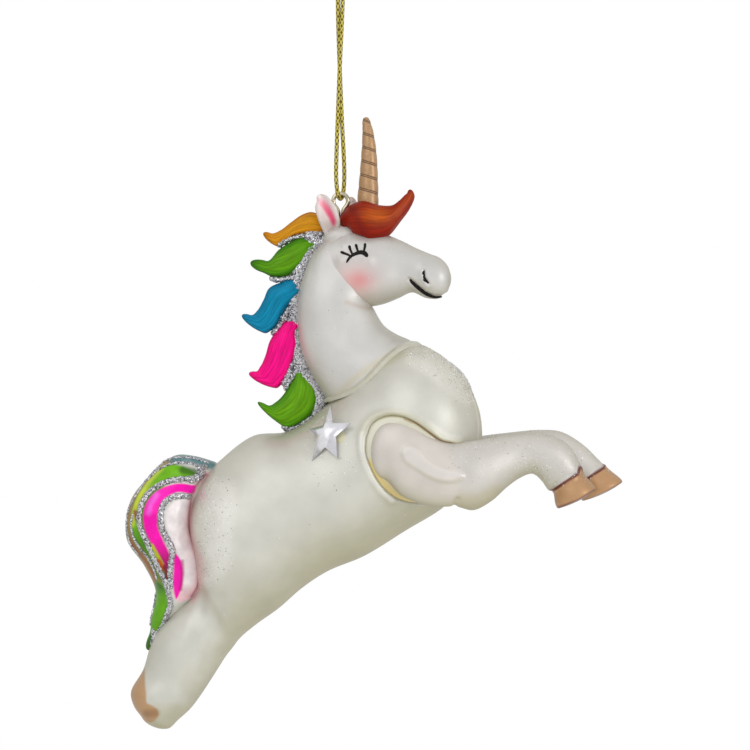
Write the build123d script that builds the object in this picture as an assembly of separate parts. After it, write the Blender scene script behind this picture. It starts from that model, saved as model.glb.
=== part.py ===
"""A hanging unicorn ornament: a blown glass body, cast resin head, mane and forelegs glued into it, and a cord loop.

Millimetres, +Z up, +X the way the unicorn leaps, -Y its near side. The origin is the point of the cord loop that
hangs on a hook. The figure is symmetric about the plane Y = 0, apart from its ears, forelegs and star.
"""

from build123d import *
import math
import os

os.makedirs("parts", exist_ok=True)

# Sizes of the whole figure
figure_height = 140.0
body_half_depth = 16.0
hang_drop = 55.0

# The side view was measured on a picture, whose pixels are the unit of the outlines below
figure_height_px = 613.0
plumb_line_px = 340.6
eye_wire_px = 193.7

# Glass, castings and glue
glass_wall = 1.0
mouth_gap = 0.3
spigot_reach = 8.6
spigot_depth = 6.1
spigot_length = 5.0
glue_bead_width = 0.8
glue_bead_height = 0.6
overrun = 4.0

# Shoulder sockets and the round roots of the forelegs
socket_radius = 10.2
socket_depth = 3.4
socket_flare = 1.0
disc_gap = 0.9
disc_dome = 1.7
disc_edge = 0.3
shoulder_px = (405.0, 457.0)
shoulder_lean_deg = 17.0
shoulder_glue_drop = 0.5

# Seam of the neck on the glass
seam_back_px = (328.0, 404.0)
seam_front_px = (417.0, 344.0)

# Star gem
star_radius = 6.7
star_waist_share = 0.42
star_height = 1.7
star_rim = 0.45
star_px = (331.5, 434.5)
star_roll_deg = 4.0
star_side_share = 0.86
star_axis_px = (362.0, 472.0)
star_turn_share = 1.15
star_glue_radius = 4.4
star_glue_depth = 1.5

# Wire eye in the head
eye_wire = 0.5
eye_ring_radius = 1.69
eye_neck_drop = 2.75
eye_leg_gap = 0.04
eye_leg_length = 4.6
eye_hole_play = 0.05
eye_hair_gap = 0.25

# Cord loop and its knot
cord_radius = 0.5
cord_clearance = 0.15
knot_radius = 1.45
knot_height = 3.6
knot_base = 5.5
knot_shoulder = 1.0
tail_length = 4.5
tail_spread_deg = 14.0

# Smoothness of the oval sections, and where round them their seam lies
oval_points = 12
seam_share = 3.5
bead_seam_share = 2.9

scale_mm_per_px = figure_height / figure_height_px
eye_height = -hang_drop


def across(length_px):
    """A length of the side view, in millimetres."""
    return length_px * scale_mm_per_px


def place(point_px, side=0.0):
    """A point of the side view, at the distance side from the plane of symmetry."""
    x_px, y_px = point_px
    return Vector(across(x_px - plumb_line_px), side, eye_height - across(y_px - eye_wire_px))


def ends(row):
    """The back and front points of one section's long axis."""
    side = (row[3] if len(row) > 3 else 0.0) * body_half_depth
    return place(row[0], side), place(row[1], side)


def oval(row, heading, inset, seam):
    """One oval section: its long axis joins two points of the outline, its depth is a share of that."""
    back, front = ends(row)
    along = front - back
    half = along.length / 2
    normal = along.cross(Vector(0, 1, 0))
    if normal.dot(heading) < 0:
        normal = normal * -1
    plane = Plane(origin=(back + front) / 2, x_dir=along, z_dir=normal)
    turns = [math.tau * (i + seam) / oval_points for i in range(oval_points)]
    reach, depth = half - inset, half * row[2] - inset
    ring = Spline(*[(reach * math.cos(t), depth * math.sin(t)) for t in turns], periodic=True)
    return plane * make_face(ring)


def skin(rows, start_px=None, end_px=None, inset=0.0, seam=seam_share):
    """A closed smooth form through oval sections, with a rounded tip where an end point is given."""
    middles = [(back + front) / 2 for back, front in (ends(row) for row in rows)]
    ahead = [after - before for before, after in zip(middles, middles[1:])]
    sections = [oval(row, heading, inset, seam) for row, heading in zip(rows, ahead + ahead[-1:])]
    sides = [middles[0].Y, middles[-1].Y]
    if start_px:
        tip = place(start_px, sides[0])
        inward = (sections[0].center() - tip).normalized()
        sections.insert(0, Vertex(*(tip + inward * inset)))
    if end_px:
        tip = place(end_px, sides[1])
        inward = (sections[-1].center() - tip).normalized()
        sections.append(Vertex(*(tip + inward * inset)))
    return loft(sections)


# Outlines of the side view: each row joins a point of the back to one of the belly, and gives the share
# of half that line that the form is deep, then how far it lies to the side as a share of the body's depth
chest_rows = [
    ((457.5, 361.0), (473.5, 391.0), 0.95),
    ((438.0, 350.0), (481.0, 419.0), 0.95),
    ((412.0, 343.0), (478.0, 455.0), 0.94),
    ((384.0, 349.0), (466.0, 484.0), 0.92),
    ((354.0, 375.0), (445.0, 506.0), 0.90),
    ((320.0, 406.0), (405.0, 531.0), 0.90),
    ((286.0, 428.0), (363.0, 556.5), 0.90),
    ((252.0, 434.0), (328.0, 571.0), 0.88),
    ((224.0, 457.0), (302.0, 588.0), 0.88),
    ((201.0, 484.0), (279.0, 608.0), 0.86),
    ((189.0, 518.0), (258.0, 623.0), 0.86),
    ((182.0, 560.0), (240.0, 638.0), 0.93),
    ((168.0, 606.0), (226.0, 656.0), 1.02),
    ((151.0, 642.0), (212.0, 678.0), 1.02),
    ((143.0, 670.0), (201.0, 694.5), 1.05),
    ((131.0, 692.0), (190.0, 709.0), 1.05),
    ((134.0, 706.0), (178.5, 719.5), 1.12),
    ((142.0, 717.5), (168.0, 728.5), 1.2),
]
chest_tip_px = (467.5, 374.0)
hoof_tip_px = (153.0, 726.5)

tail_rows = [
    ((213.0, 461.0), (214.0, 484.0), 0.90),
    ((195.0, 456.0), (209.0, 490.0), 0.95),
    ((175.0, 455.5), (204.0, 500.0), 1.00),
    ((150.0, 475.5), (203.0, 514.0), 1.02),
    ((130.0, 502.0), (202.0, 529.0), 0.98),
    ((126.5, 538.0), (205.0, 543.0), 0.92),
    ((144.5, 566.0), (209.0, 564.0), 0.92),
    ((155.5, 590.0), (207.0, 588.0), 0.92),
    ((151.5, 615.0), (188.0, 607.0), 0.90),
    ((148.5, 636.0), (168.0, 630.0), 0.80),
]
tail_start_px = (221.0, 472.0)
tail_end_px = (150.5, 650.0)

neck_rows = [
    ((347.0, 427.0), (425.0, 371.0), 0.72),
    ((336.0, 415.0), (424.0, 353.0), 0.74),
    ((325.0, 398.0), (411.0, 341.0), 0.74),
    ((312.0, 376.0), (397.0, 334.5), 0.74),
    ((301.0, 352.0), (384.0, 325.5), 0.74),
    ((297.0, 325.0), (375.0, 311.0), 0.75),
    ((297.5, 298.0), (368.0, 295.0), 0.78),
    ((302.5, 275.0), (360.0, 272.0), 0.84),
    ((311.5, 254.0), (354.0, 248.0), 0.95),
    ((323.0, 238.0), (351.0, 232.0), 1.05),
]
neck_start_px = (391.0, 408.0)
neck_end_px = (337.5, 224.5)

head_rows = [
    ((330.0, 236.0), (322.0, 283.0), 0.80),
    ((349.0, 228.0), (345.0, 299.0), 0.74),
    ((368.0, 231.0), (365.0, 306.0), 0.70),
    ((386.0, 234.5), (384.0, 303.5), 0.70),
    ((402.0, 241.0), (399.0, 298.0), 0.72),
    ((416.0, 248.0), (412.5, 292.5), 0.82),
    ((429.0, 253.5), (426.0, 298.0), 0.86),
    ((440.0, 258.0), (438.0, 299.0), 0.88),
    ((447.5, 265.5), (446.0, 294.0), 0.92),
    ((450.3, 273.0), (449.8, 286.0), 1.0),
]
head_start_px = (312.0, 262.0)
head_end_px = (451.2, 279.5)

near_ear_rows = [
    ((324.0, 240.0), (343.0, 233.0), 0.46, -0.26),
    ((318.0, 221.0), (340.5, 219.5), 0.44, -0.28),
    ((315.4, 208.0), (336.0, 207.0), 0.42, -0.30),
    ((317.0, 200.0), (329.5, 199.0), 0.40, -0.31),
]
near_ear_start_px = (335.0, 243.0)
near_ear_end_px = (321.0, 195.0)

far_ear_rows = [
    ((335.0, 235.0), (353.0, 235.0), 0.46, 0.26),
    ((339.0, 219.0), (359.0, 222.0), 0.44, 0.28),
    ((343.0, 207.0), (359.5, 210.0), 0.42, 0.30),
    ((347.5, 200.5), (357.0, 202.5), 0.40, 0.31),
]
far_ear_start_px = (342.0, 243.0)
far_ear_end_px = (351.5, 196.0)

forelock_rows = [
    ((342.5, 213.0), (346.0, 236.0), 1.05),
    ((351.0, 205.0), (352.0, 245.0), 1.10),
    ((364.5, 201.0), (366.0, 251.0), 1.08),
    ((378.0, 205.0), (379.0, 249.0), 1.02),
    ((390.5, 205.5), (389.0, 240.0), 0.95),
    ((399.0, 200.5), (400.0, 222.0), 0.90),
    ((404.5, 195.0), (409.5, 209.0), 0.85),
    ((407.5, 191.8), (414.3, 198.5), 0.85),
]
forelock_start_px = (339.5, 225.0)
forelock_end_px = (412.3, 190.5)

horn_base_px = (367.5, 236.0)
horn_foot_px = (367.6, 212.0)
horn_waist_px = (368.4, 160.0)
horn_tip_px = (365.6, 117.0)
horn_foot_radius = 2.45
horn_waist_radius = 1.85
horn_tip_radius = 0.75

mane_rows = {
    "top_mane_lock": (
        (325.0, 224.0),
        [
            ((313.0, 212.5), (318.0, 233.0), 0.75),
            ((303.0, 214.5), (306.0, 233.5), 0.80),
            ((291.0, 222.5), (293.5, 236.0), 1.00),
            ((280.0, 230.5), (284.0, 241.0), 1.05),
            ((271.0, 233.3), (276.5, 246.0), 0.70),
        ],
        (263.5, 235.5),
    ),
    "upper_mane_lock": (
        (319.0, 244.0),
        [
            ((311.0, 238.0), (309.5, 253.0), 0.95),
            ((300.0, 237.5), (300.0, 266.0), 0.60),
            ((289.5, 242.5), (288.5, 275.0), 0.52),
            ((279.0, 249.5), (274.5, 277.0), 0.55),
            ((266.5, 261.0), (262.0, 272.0), 0.80),
        ],
        (250.5, 262.3),
    ),
    "middle_mane_lock": (
        (300.0, 283.0),
        [
            ((283.0, 281.5), (297.0, 298.0), 0.75),
            ((269.5, 288.0), (289.0, 304.5), 0.65),
            ((263.5, 300.0), (281.5, 315.0), 0.65),
            ((257.5, 309.0), (275.5, 325.5), 0.58),
            ((249.5, 313.0), (265.5, 332.0), 0.45),
        ],
        (243.0, 317.0),
    ),
    "lower_mane_lock": (
        (296.0, 319.0),
        [
            ((279.5, 327.0), (298.0, 331.0), 0.80),
            ((270.0, 341.0), (298.0, 346.0), 0.60),
            ((265.5, 355.0), (293.5, 362.0), 0.55),
            ((259.0, 367.0), (284.0, 379.0), 0.50),
            ((253.5, 372.5), (274.0, 387.0), 0.42),
        ],
        (250.5, 378.5),
    ),
    "last_mane_lock": (
        (300.5, 366.0),
        [
            ((292.5, 373.0), (307.0, 375.0), 0.85),
            ((287.5, 382.5), (316.5, 389.0), 0.55),
            ((281.0, 392.5), (315.0, 406.0), 0.48),
            ((273.0, 399.5), (301.0, 420.0), 0.50),
            ((264.5, 403.0), (283.5, 425.5), 0.45),
        ],
        (259.0, 407.0),
    ),
}

glitter_band_rows = [
    ((298.0, 232.5), (323.0, 241.5), 0.55),
    ((288.0, 243.0), (316.0, 256.0), 0.50),
    ((288.0, 274.0), (307.0, 276.5), 0.75),
    ((284.5, 297.0), (303.0, 299.0), 0.78),
    ((283.0, 319.0), (301.0, 320.0), 0.80),
    ((285.5, 345.0), (303.0, 343.5), 0.80),
    ((287.5, 367.0), (310.0, 361.0), 0.66),
    ((300.0, 392.0), (320.0, 380.0), 0.62),
    ((307.0, 409.0), (330.0, 397.0), 0.52),
]
glitter_band_start_px = (312.0, 228.0)
glitter_band_end_px = (317.0, 418.0)

leg_root_px = (404.0, 461.0)
near_leg_rows = [
    ((424.0, 446.0), (432.0, 488.0), 0.55, -0.84),
    ((447.0, 443.0), (458.0, 505.0), 0.52, -0.88),
    ((469.0, 439.5), (479.0, 507.0), 0.52, -0.80),
    ((490.0, 437.0), (499.0, 492.0), 0.60, -0.68),
    ((510.0, 434.0), (515.0, 478.5), 0.72, -0.58),
    ((530.0, 433.5), (531.0, 472.5), 0.80, -0.52),
    ((549.0, 438.0), (538.5, 477.5), 0.80, -0.48),
    ((565.0, 450.5), (546.0, 488.0), 0.80, -0.45),
    ((578.0, 468.0), (552.5, 489.5), 0.96, -0.44),
    ((583.5, 473.0), (553.0, 491.5), 1.02, -0.44),
    ((594.0, 489.0), (558.5, 508.0), 0.92, -0.44),
]
far_leg_rows = [
    ((424.0, 446.0), (432.0, 488.0), 0.55, 0.84),
    ((447.0, 443.0), (458.0, 501.0), 0.52, 0.88),
    ((469.0, 438.5), (479.0, 500.0), 0.52, 0.80),
    ((490.0, 435.5), (499.0, 487.0), 0.60, 0.68),
    ((511.0, 432.5), (517.0, 476.0), 0.72, 0.58),
    ((533.0, 430.5), (537.0, 471.0), 0.80, 0.52),
    ((558.0, 431.0), (549.0, 471.0), 0.80, 0.48),
    ((583.0, 444.0), (565.0, 479.0), 0.80, 0.45),
    ((606.0, 466.5), (580.0, 484.0), 0.96, 0.44),
    ((612.0, 471.0), (580.5, 487.0), 1.02, 0.44),
    ((624.5, 483.0), (584.5, 502.0), 0.92, 0.44),
]

# The cord's route in millimetres from the hook: down one strand, through the wire eye and up the other
cord_route = [
    (0.55, 0.0, knot_base),
    (0.62, 0.0, 4.2),
    (1.62, 0.03, 1.6),
    (1.62, -0.03, -1.4),
    (0.62, 0.0, -5.5),
    (0.42, -0.1, -13.5),
    (-0.20, -0.56, -26.0),
    (-0.70, -0.15, -39.5),
    (-1.00, -0.75, -47.6),
    (-1.05, -1.10, -52.0),
    (-0.55, -1.15, eye_height - eye_wire - cord_clearance - cord_radius),
    (0.45, 1.15, eye_height - eye_wire - cord_clearance - cord_radius),
    (0.88, 1.10, -52.0),
    (0.80, 0.75, -47.6),
    (0.34, 0.12, -39.5),
    (-0.22, 0.56, -26.0),
    (-0.64, 0.06, -13.5),
    (-0.60, 0.0, -5.5),
    (-1.62, -0.03, -1.4),
    (-1.62, 0.03, 1.6),
    (-0.62, 0.0, 4.2),
    (-0.55, 0.0, knot_base),
]
arc_share = 0.45


def corner_radii(route):
    """The radius of each corner's arc: 0.45 of the shorter run over the tangent of half the turn."""
    radii = []
    points = [Vector(*point) for point in route]
    for before, corner, after in zip(points, points[1:], points[2:]):
        run_in, run_out = corner - before, after - corner
        turn = math.radians(run_in.get_angle(run_out))
        radii.append(arc_share * min(run_in.length, run_out.length) / math.tan(turn / 2))
    return radii


def hanging_cord():
    """The cord as one open tube of straight runs and tangent arcs, held taut by the figure's weight."""
    radii = corner_radii(cord_route)
    path = FilletPolyline(*cord_route, radius=radii)
    print("cord radii", [round(radius, 2) for radius in radii])
    start = Plane(origin=cord_route[0], z_dir=path % 0)
    tube = sweep(start * Circle(cord_radius), path=path)
    expected = path.length * math.pi * cord_radius**2
    print("cord length", round(path.length, 1), "volume", round(tube.volume, 1), "expected", round(expected, 1))
    return tube


def cord_knot():
    """The overhand knot of both ends above the hook, with its two cut tails."""
    middle = knot_base + knot_height / 2
    profile = make_face(
        Polyline(
            (0, knot_base),
            (knot_shoulder, knot_base),
            (knot_radius, middle),
            (knot_shoulder, knot_base + knot_height),
            (0, knot_base + knot_height),
            close=True,
        )
    )
    lump = revolve(Plane.XZ * profile, axis=Axis.Z)
    top = Vector(0, 0, knot_base + knot_height - cord_radius)
    tails = []
    for lean in (-tail_spread_deg, tail_spread_deg):
        foot = Plane(origin=top, z_dir=Vector(0, 0, 1).rotate(Axis.Y, lean))
        tails.append(extrude(foot * Circle(cord_radius), tail_length))
    return lump + tails


def hanging_eye():
    """Wire bent to a teardrop eye, its two legs side by side in the head."""
    ring_centre = eye_height - eye_ring_radius
    leg_x = eye_wire + eye_leg_gap / 2
    neck_z = ring_centre - eye_neck_drop
    foot_z = neck_z - eye_leg_length
    up, down = (0, 0, 1), (0, 0, -1)
    path = [
        Line((-leg_x, 0, foot_z), (-leg_x, 0, neck_z)),
        Spline((-leg_x, 0, neck_z), (-eye_ring_radius, 0, ring_centre), tangents=[up, up]),
        ThreePointArc((-eye_ring_radius, 0, ring_centre), (0, 0, eye_height), (eye_ring_radius, 0, ring_centre)),
        Spline((eye_ring_radius, 0, ring_centre), (leg_x, 0, neck_z), tangents=[down, down]),
        Line((leg_x, 0, neck_z), (leg_x, 0, foot_z)),
    ]
    return sweep(Plane(origin=(-leg_x, 0, foot_z)) * Circle(eye_wire), path=Wire(path))


def eye_hole(grown=0.0):
    """The drilled hole in the head that takes both legs of the eye."""
    radius = 2 * eye_wire + eye_leg_gap / 2 + eye_hole_play + grown
    neck_z = eye_height - eye_ring_radius - eye_neck_drop
    depth = eye_leg_length + eye_hole_play
    return Pos(0, 0, neck_z - depth) * extrude(Circle(radius), depth + overrun)


def horn(grown=0.0):
    """The tapering horn, a round loft along a slight bend, from a peg inside the head to a blunt tip."""
    stations = [
        (horn_base_px, horn_foot_radius),
        (horn_foot_px, horn_foot_radius),
        (horn_waist_px, horn_waist_radius),
        (horn_tip_px, horn_tip_radius),
    ]
    points = [place(point) for point, _ in stations]
    sections = []
    for i, (point, (_, radius)) in enumerate(zip(points, stations)):
        ahead = points[min(i + 1, len(points) - 1)] - points[max(i - 1, 0)]
        sections.append(Plane(origin=point, x_dir=(0, 1, 0), z_dir=ahead) * Circle(radius + grown))
    body = loft(sections)
    return fillet(body.edges().group_by(Axis.Z)[-1], horn_tip_radius * 0.9) if not grown else body


def shoulder_plane(side):
    """The socket's mouth: on the body's side, leaning down and facing outwards."""
    lean = math.radians(shoulder_lean_deg)
    origin = place(shoulder_px, side * body_half_depth * 0.97)
    return Plane(origin=origin, x_dir=(1, 0, 0), z_dir=(0, side * math.cos(lean), -math.sin(lean)))


def socket(side, grown=0.0):
    """The dished socket in the body's side, flared towards its mouth."""
    floor, mouth = socket_radius - socket_flare + grown, socket_radius + grown
    rim = shoulder_plane(side)
    bottom = rim.offset(-socket_depth - grown)
    outside = rim.offset(overrun)
    return loft([bottom * Circle(floor), rim * Circle(mouth), outside * Circle(mouth)], ruled=True)


def leg_disc(side):
    """The round root of a foreleg, domed outside, that sits in the socket."""
    radius = socket_radius - socket_flare - disc_gap
    brim, crown = (radius, -disc_edge), (0, disc_dome)
    half = make_face(
        [
            Line((0, -socket_depth), (radius, -socket_depth)),
            Line((radius, -socket_depth), brim),
            Spline(brim, crown, tangents=[(0, 1), (-1, 0)]),
            Line(crown, (0, -socket_depth)),
        ]
    )
    turned = revolve(Plane.XZ * half, axis=Axis.Z)
    return shoulder_plane(side) * turned


def foreleg(rows, side, body):
    """One resin foreleg: its round root in the socket, the bent leg beside the chest and the flat sole."""
    return leg_disc(side) + (skin(rows, start_px=leg_root_px) - body)


def shoulder_glue(side):
    """The ring of clear yellow glue between a foreleg's root and its socket."""
    floor = socket_radius - socket_flare
    brim = socket_radius - socket_flare * shoulder_glue_drop / socket_depth
    rim = shoulder_plane(side)
    bottom, top = rim.offset(-socket_depth), rim.offset(-shoulder_glue_drop)
    fill = loft([bottom * Circle(floor), top * Circle(brim)], ruled=True)
    return fill - extrude(bottom * Circle(floor - disc_gap), socket_depth)


def seam_plane():
    """The plane of the neck's seam, facing into the glass."""
    back, front = place(seam_back_px), place(seam_front_px)
    along = front - back
    return Plane(origin=(back + front) / 2, x_dir=along, z_dir=Vector(0, 1, 0).cross(along))


def mouth():
    """The oval hole in the glass that takes the neck's spigot."""
    size = Ellipse(spigot_reach + mouth_gap, spigot_depth + mouth_gap)
    return extrude(seam_plane().offset(-2 * overrun) * size, 4 * overrun)


def neck_spigot():
    """The oval spigot under the neck, which goes through the mouth of the glass."""
    return extrude(seam_plane().offset(-overrun) * Ellipse(spigot_reach, spigot_depth), overrun + spigot_length)


def neck_glue(body, casting):
    """The thin bead of glue that runs round the foot of the neck on the glass."""
    wide = skin(neck_rows[:5], neck_start_px, inset=-glue_bead_width)
    thick = skin(chest_rows, chest_tip_px, hoof_tip_px, inset=-glue_bead_height, seam=bead_seam_share)
    return ((wide - body) & thick) - casting


def star_plane():
    """The plane of the star's flat back, level with the curved body where they touch."""
    spot = place(star_px, -star_side_share * body_half_depth)
    middle = place(star_axis_px)
    outward = Vector(spot.X - middle.X, spot.Y * star_turn_share, spot.Z - middle.Z)
    return Plane(origin=spot, x_dir=(outward.Z, 0, -outward.X), z_dir=outward)


def star_glue(body):
    """The blob of glue between the star's flat back and the round body."""
    pad = extrude(star_plane() * Circle(star_glue_radius), -star_glue_depth)
    return pad - body


def star_outline():
    """Ten corners of a five-pointed star, the first tip upwards."""
    corners = []
    for i in range(10):
        radius = star_radius if i % 2 == 0 else star_radius * star_waist_share
        angle = math.radians(90 + star_roll_deg + 36 * i)
        corners.append((radius * math.cos(angle), radius * math.sin(angle)))
    return make_face(Polyline(*corners, close=True))


def star_gem():
    """A faceted star: a thin rim with ten facets that meet at its middle."""
    plane = star_plane()
    rim = extrude(plane * star_outline(), star_rim)
    peak = plane.offset(star_height).origin
    facets = loft([plane.offset(star_rim) * star_outline(), Vertex(*peak)], ruled=True)
    return rim + facets


def write(name, shape):
    """Writes one piece and prints its size."""
    export_step(shape, f"parts/{name}.step")
    print(name, len(shape.solids()), "solids", round(shape.volume, 1), "mm3")


def glass_body(body):
    """The blown shell: body and tail lobe in one, dished at the shoulders and open at the neck."""
    outside = body + skin(tail_rows, tail_start_px, tail_end_px)
    hollow = skin(chest_rows, chest_tip_px, hoof_tip_px, inset=glass_wall)
    hollow = hollow + skin(tail_rows, tail_start_px, tail_end_px, inset=glass_wall)
    for side in (-1, 1):
        outside = outside - socket(side)
        hollow = hollow - socket(side, glass_wall)
    return outside - hollow - mouth()


def head_casting(body):
    """Neck, head and ears as one casting, whose foot sits on the glass with a spigot through its mouth."""
    neck = skin(neck_rows, neck_start_px, neck_end_px) - body + neck_spigot()
    head = neck + skin(head_rows, head_start_px, head_end_px)
    head = head + skin(near_ear_rows, near_ear_start_px, near_ear_end_px)
    return head + skin(far_ear_rows, far_ear_start_px, far_ear_end_px)


def main():
    """Builds each piece and writes it."""
    body = skin(chest_rows, chest_tip_px, hoof_tip_px)
    casting = head_casting(body)
    horn_form = horn()
    hair = skin(forelock_rows, forelock_start_px, forelock_end_px)
    write("glass_body", glass_body(body))
    write("head_and_neck", casting - horn_form - eye_hole())
    write("horn", horn_form)
    write("forelock", hair - casting - horn_form - eye_hole(eye_hair_gap))
    band = skin(glitter_band_rows, glitter_band_start_px, glitter_band_end_px) - casting - body
    for name, (root_px, rows, tip_px) in mane_rows.items():
        lock = skin(rows, root_px, tip_px) - casting
        if name == "top_mane_lock":
            band = band - lock
        else:
            lock = lock - band
        write(name, lock)
    write("mane_glitter_band", band)
    write("neck_glue", neck_glue(body, casting) - band)
    for name, rows, side in (("near", near_leg_rows, -1), ("far", far_leg_rows, 1)):
        leg = foreleg(rows, side, body)
        write(f"{name}_foreleg", leg)
        write(f"{name}_shoulder_glue", shoulder_glue(side) - leg)
    write("star_gem", star_gem())
    write("star_glue", star_glue(body))
    write("hanging_eye", hanging_eye())
    write("hanging_cord", hanging_cord())
    write("cord_knot", cord_knot())


main()
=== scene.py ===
# %% [markdown]
# # A hanging unicorn of blown glass and cast resin
# The solids of the part come from its frame. Each visible skin is worked out here with numpy, as a surface
# over two numbers, one along the form and one around it, and laid over the solid that it stands for.

# %% Open the frame
import bpy
import math
import numpy as np
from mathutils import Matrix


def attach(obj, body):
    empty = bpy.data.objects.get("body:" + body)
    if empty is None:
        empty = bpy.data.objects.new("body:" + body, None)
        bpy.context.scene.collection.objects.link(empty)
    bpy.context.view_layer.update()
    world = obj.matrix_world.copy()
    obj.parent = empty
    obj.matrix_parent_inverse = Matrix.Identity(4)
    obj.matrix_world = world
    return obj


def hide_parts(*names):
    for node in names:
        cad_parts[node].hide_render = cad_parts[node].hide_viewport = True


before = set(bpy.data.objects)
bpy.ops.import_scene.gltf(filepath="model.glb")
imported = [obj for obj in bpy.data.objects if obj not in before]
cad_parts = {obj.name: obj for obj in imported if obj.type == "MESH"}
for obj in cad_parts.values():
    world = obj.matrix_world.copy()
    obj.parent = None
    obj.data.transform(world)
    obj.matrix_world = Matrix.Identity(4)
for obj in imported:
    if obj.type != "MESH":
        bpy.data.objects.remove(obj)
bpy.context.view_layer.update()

# %% [markdown]
# ## The side view
# The outlines were read from a side view, in its pixels. One function turns such a point into
# millimetres in the part's frame. Every shape below uses it, so all of them keep the same scale.

# %% Scale of the side view
mm = 0.001
mm_per_px = 140.0 / 613.0
plumb_px, wire_px = 340.6, 193.7
hang_drop = 55.0
body_half_depth = 16.0
tau = math.tau


def side_view(points_px, side=0.0):
    """x is the column right of the plumb line, z the row below the wire eye, both scaled, and y the side."""
    points = np.asarray(points_px, float)
    x = (points[..., 0] - plumb_px) * mm_per_px
    z = -hang_drop - (points[..., 1] - wire_px) * mm_per_px
    return np.stack([x, np.broadcast_to(side, x.shape), z], axis=-1)


def picture(points):
    """The inverse: columns and rows of the side view from millimetres."""
    column = plumb_px + points[..., 0] / mm_per_px
    row = wire_px - (points[..., 2] + hang_drop) / mm_per_px
    return np.stack([column, row], axis=-1)


# %% [markdown]
# ## Camera
# The photograph looks square on at the near side. A long lens far away keeps the two sides of the figure
# nearly the same size, as it does there. The lens follows from the width that the picture has to take in.

# %% Camera
picture_px = 750
picture_width = picture_px * mm_per_px * mm
distance = 1.1


def link(thing):
    """Puts an object into the scene."""
    bpy.context.scene.collection.objects.link(thing)
    return thing


lens_data = bpy.data.cameras.new("long_lens")
lens_data.sensor_width = 36.0
lens_data.lens = lens_data.sensor_width * distance / picture_width
camera = link(bpy.data.objects.new("camera", lens_data))
middle = side_view((picture_px / 2, picture_px / 2)) * mm
camera.location = (middle[0], -distance, middle[2])
camera.rotation_euler = (math.pi / 2, 0, 0)
bpy.context.scene.camera = camera
print("lens", round(lens_data.lens, 1), "mm")

# %% [markdown]
# ## Smooth curves and oval skins
# A blown or cast form has no corners, so it is described by a few oval sections, and everything between them
# is interpolated. A cubic with matched slopes passes through every section, which a Subdivision Surface would
# not.

# %% Curves through marks


def flow(marks, values, at):
    """On each span a cubic through both values, with the slopes of the parabola through three neighbours."""
    marks, values, at = (np.asarray(a, float) for a in (marks, values, at))
    span = np.diff(marks)[:, None]
    rise = np.diff(values, axis=0) / span
    inner = (rise[:-1] * span[1:] + rise[1:] * span[:-1]) / (span[:-1] + span[1:])
    slope = np.concatenate([rise[:1], inner, rise[-1:]])
    i = np.clip(np.searchsorted(marks, at, side="right") - 1, 0, len(span) - 1)
    t, h = ((at - marks[i]) / span[i, 0])[:, None], span[i]
    return (
        (2 * t**3 - 3 * t**2 + 1) * values[i]
        + (t**3 - 2 * t**2 + t) * h * slope[i]
        + (3 * t**2 - 2 * t**3) * values[i + 1]
        + (t**3 - t**2) * h * slope[i + 1]
    )


def lengths(points):
    """The length along a line from its first point to each of its points."""
    return np.concatenate([[0], np.cumsum(np.linalg.norm(np.diff(points, axis=0), axis=1))])


def along_line(line, step):
    """A smooth curve through the points of a line, at even steps of its length."""
    line = np.asarray(line, float)
    marks = lengths(line)
    return flow(marks, line, np.linspace(0, marks[-1], max(int(marks[-1] / step), 2) + 1))


def turns(count):
    """That many angles of one full turn, at even steps."""
    return np.linspace(0, tau, count, endpoint=False)


def soft_step(value, low, high):
    """0 below low, 1 above high, and 3t^2 - 2t^3 between them."""
    t = np.clip((value - low) / (high - low), 0, 1)
    return t * t * (3 - 2 * t)


cap_steps = np.array([0.0, 0.015, 0.06, 0.14, 0.26, 0.42, 0.62, 0.82])


def sections(rows, start, end):
    """Centre, half axis, depth and side in pixels. A row has both ends of its axis, the depth over the half
    axis and the side over the body's half depth. The cap at each tip grows with the share t of its reach as
    (1 - r) * sqrt(t) + r * sqrt(1 - (1 - t)^2), where r is the reach over the half width: a dome or a tip."""
    rows = np.array(rows, float)
    centre, half = (rows[:, :2] + rows[:, 2:4]) / 2, (rows[:, :2] - rows[:, 2:4]) / 2
    depth = np.linalg.norm(half, axis=1) * rows[:, 4]
    side = (rows[:, 5] if rows.shape[1] == 6 else 0 * depth) * body_half_depth / mm_per_px
    table = np.column_stack([centre, half, depth, side])
    for tip, row, front in ((start, table[0], True), (end, table[-1], False)):
        reach = min(np.linalg.norm(row[:2] - tip) / np.linalg.norm(row[2:4]), 1.0)
        size = (1 - reach) * np.sqrt(cap_steps) + reach * np.sqrt(1 - (1 - cap_steps) ** 2)
        cap = np.tile(row, (len(cap_steps), 1))
        cap[:, :2] = np.asarray(tip) + (row[:2] - np.asarray(tip)) * cap_steps[:, None]
        cap[:, 2:5] *= size[:, None]
        table = np.vstack([cap, table]) if front else np.vstack([table, cap[::-1]])
    return table


def even_sections(rows, start, end, count):
    """That many sections at even steps along a form, as six lists: centre, half axis, depth and side."""
    table = sections(rows, start, end)
    marks = lengths(table[:, :5])
    return flow(marks, table, np.linspace(0, marks[-1], count)).T


def skin(rows, start, end, along, around, fullness=1.0):
    """centre + half axis * cos(turn) in the picture, side + depth * sin(turn)^fullness across it."""
    cx, cy, hx, hy, depth, side = even_sections(rows, start, end, along)[..., None]
    turn = turns(around)
    flat = np.stack([cx + hx * np.cos(turn), cy + hy * np.cos(turn)], axis=-1)
    across = np.sign(np.sin(turn)) * np.abs(np.sin(turn)) ** fullness
    return side_view(flat, (side + depth * across) * mm_per_px)


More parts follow.
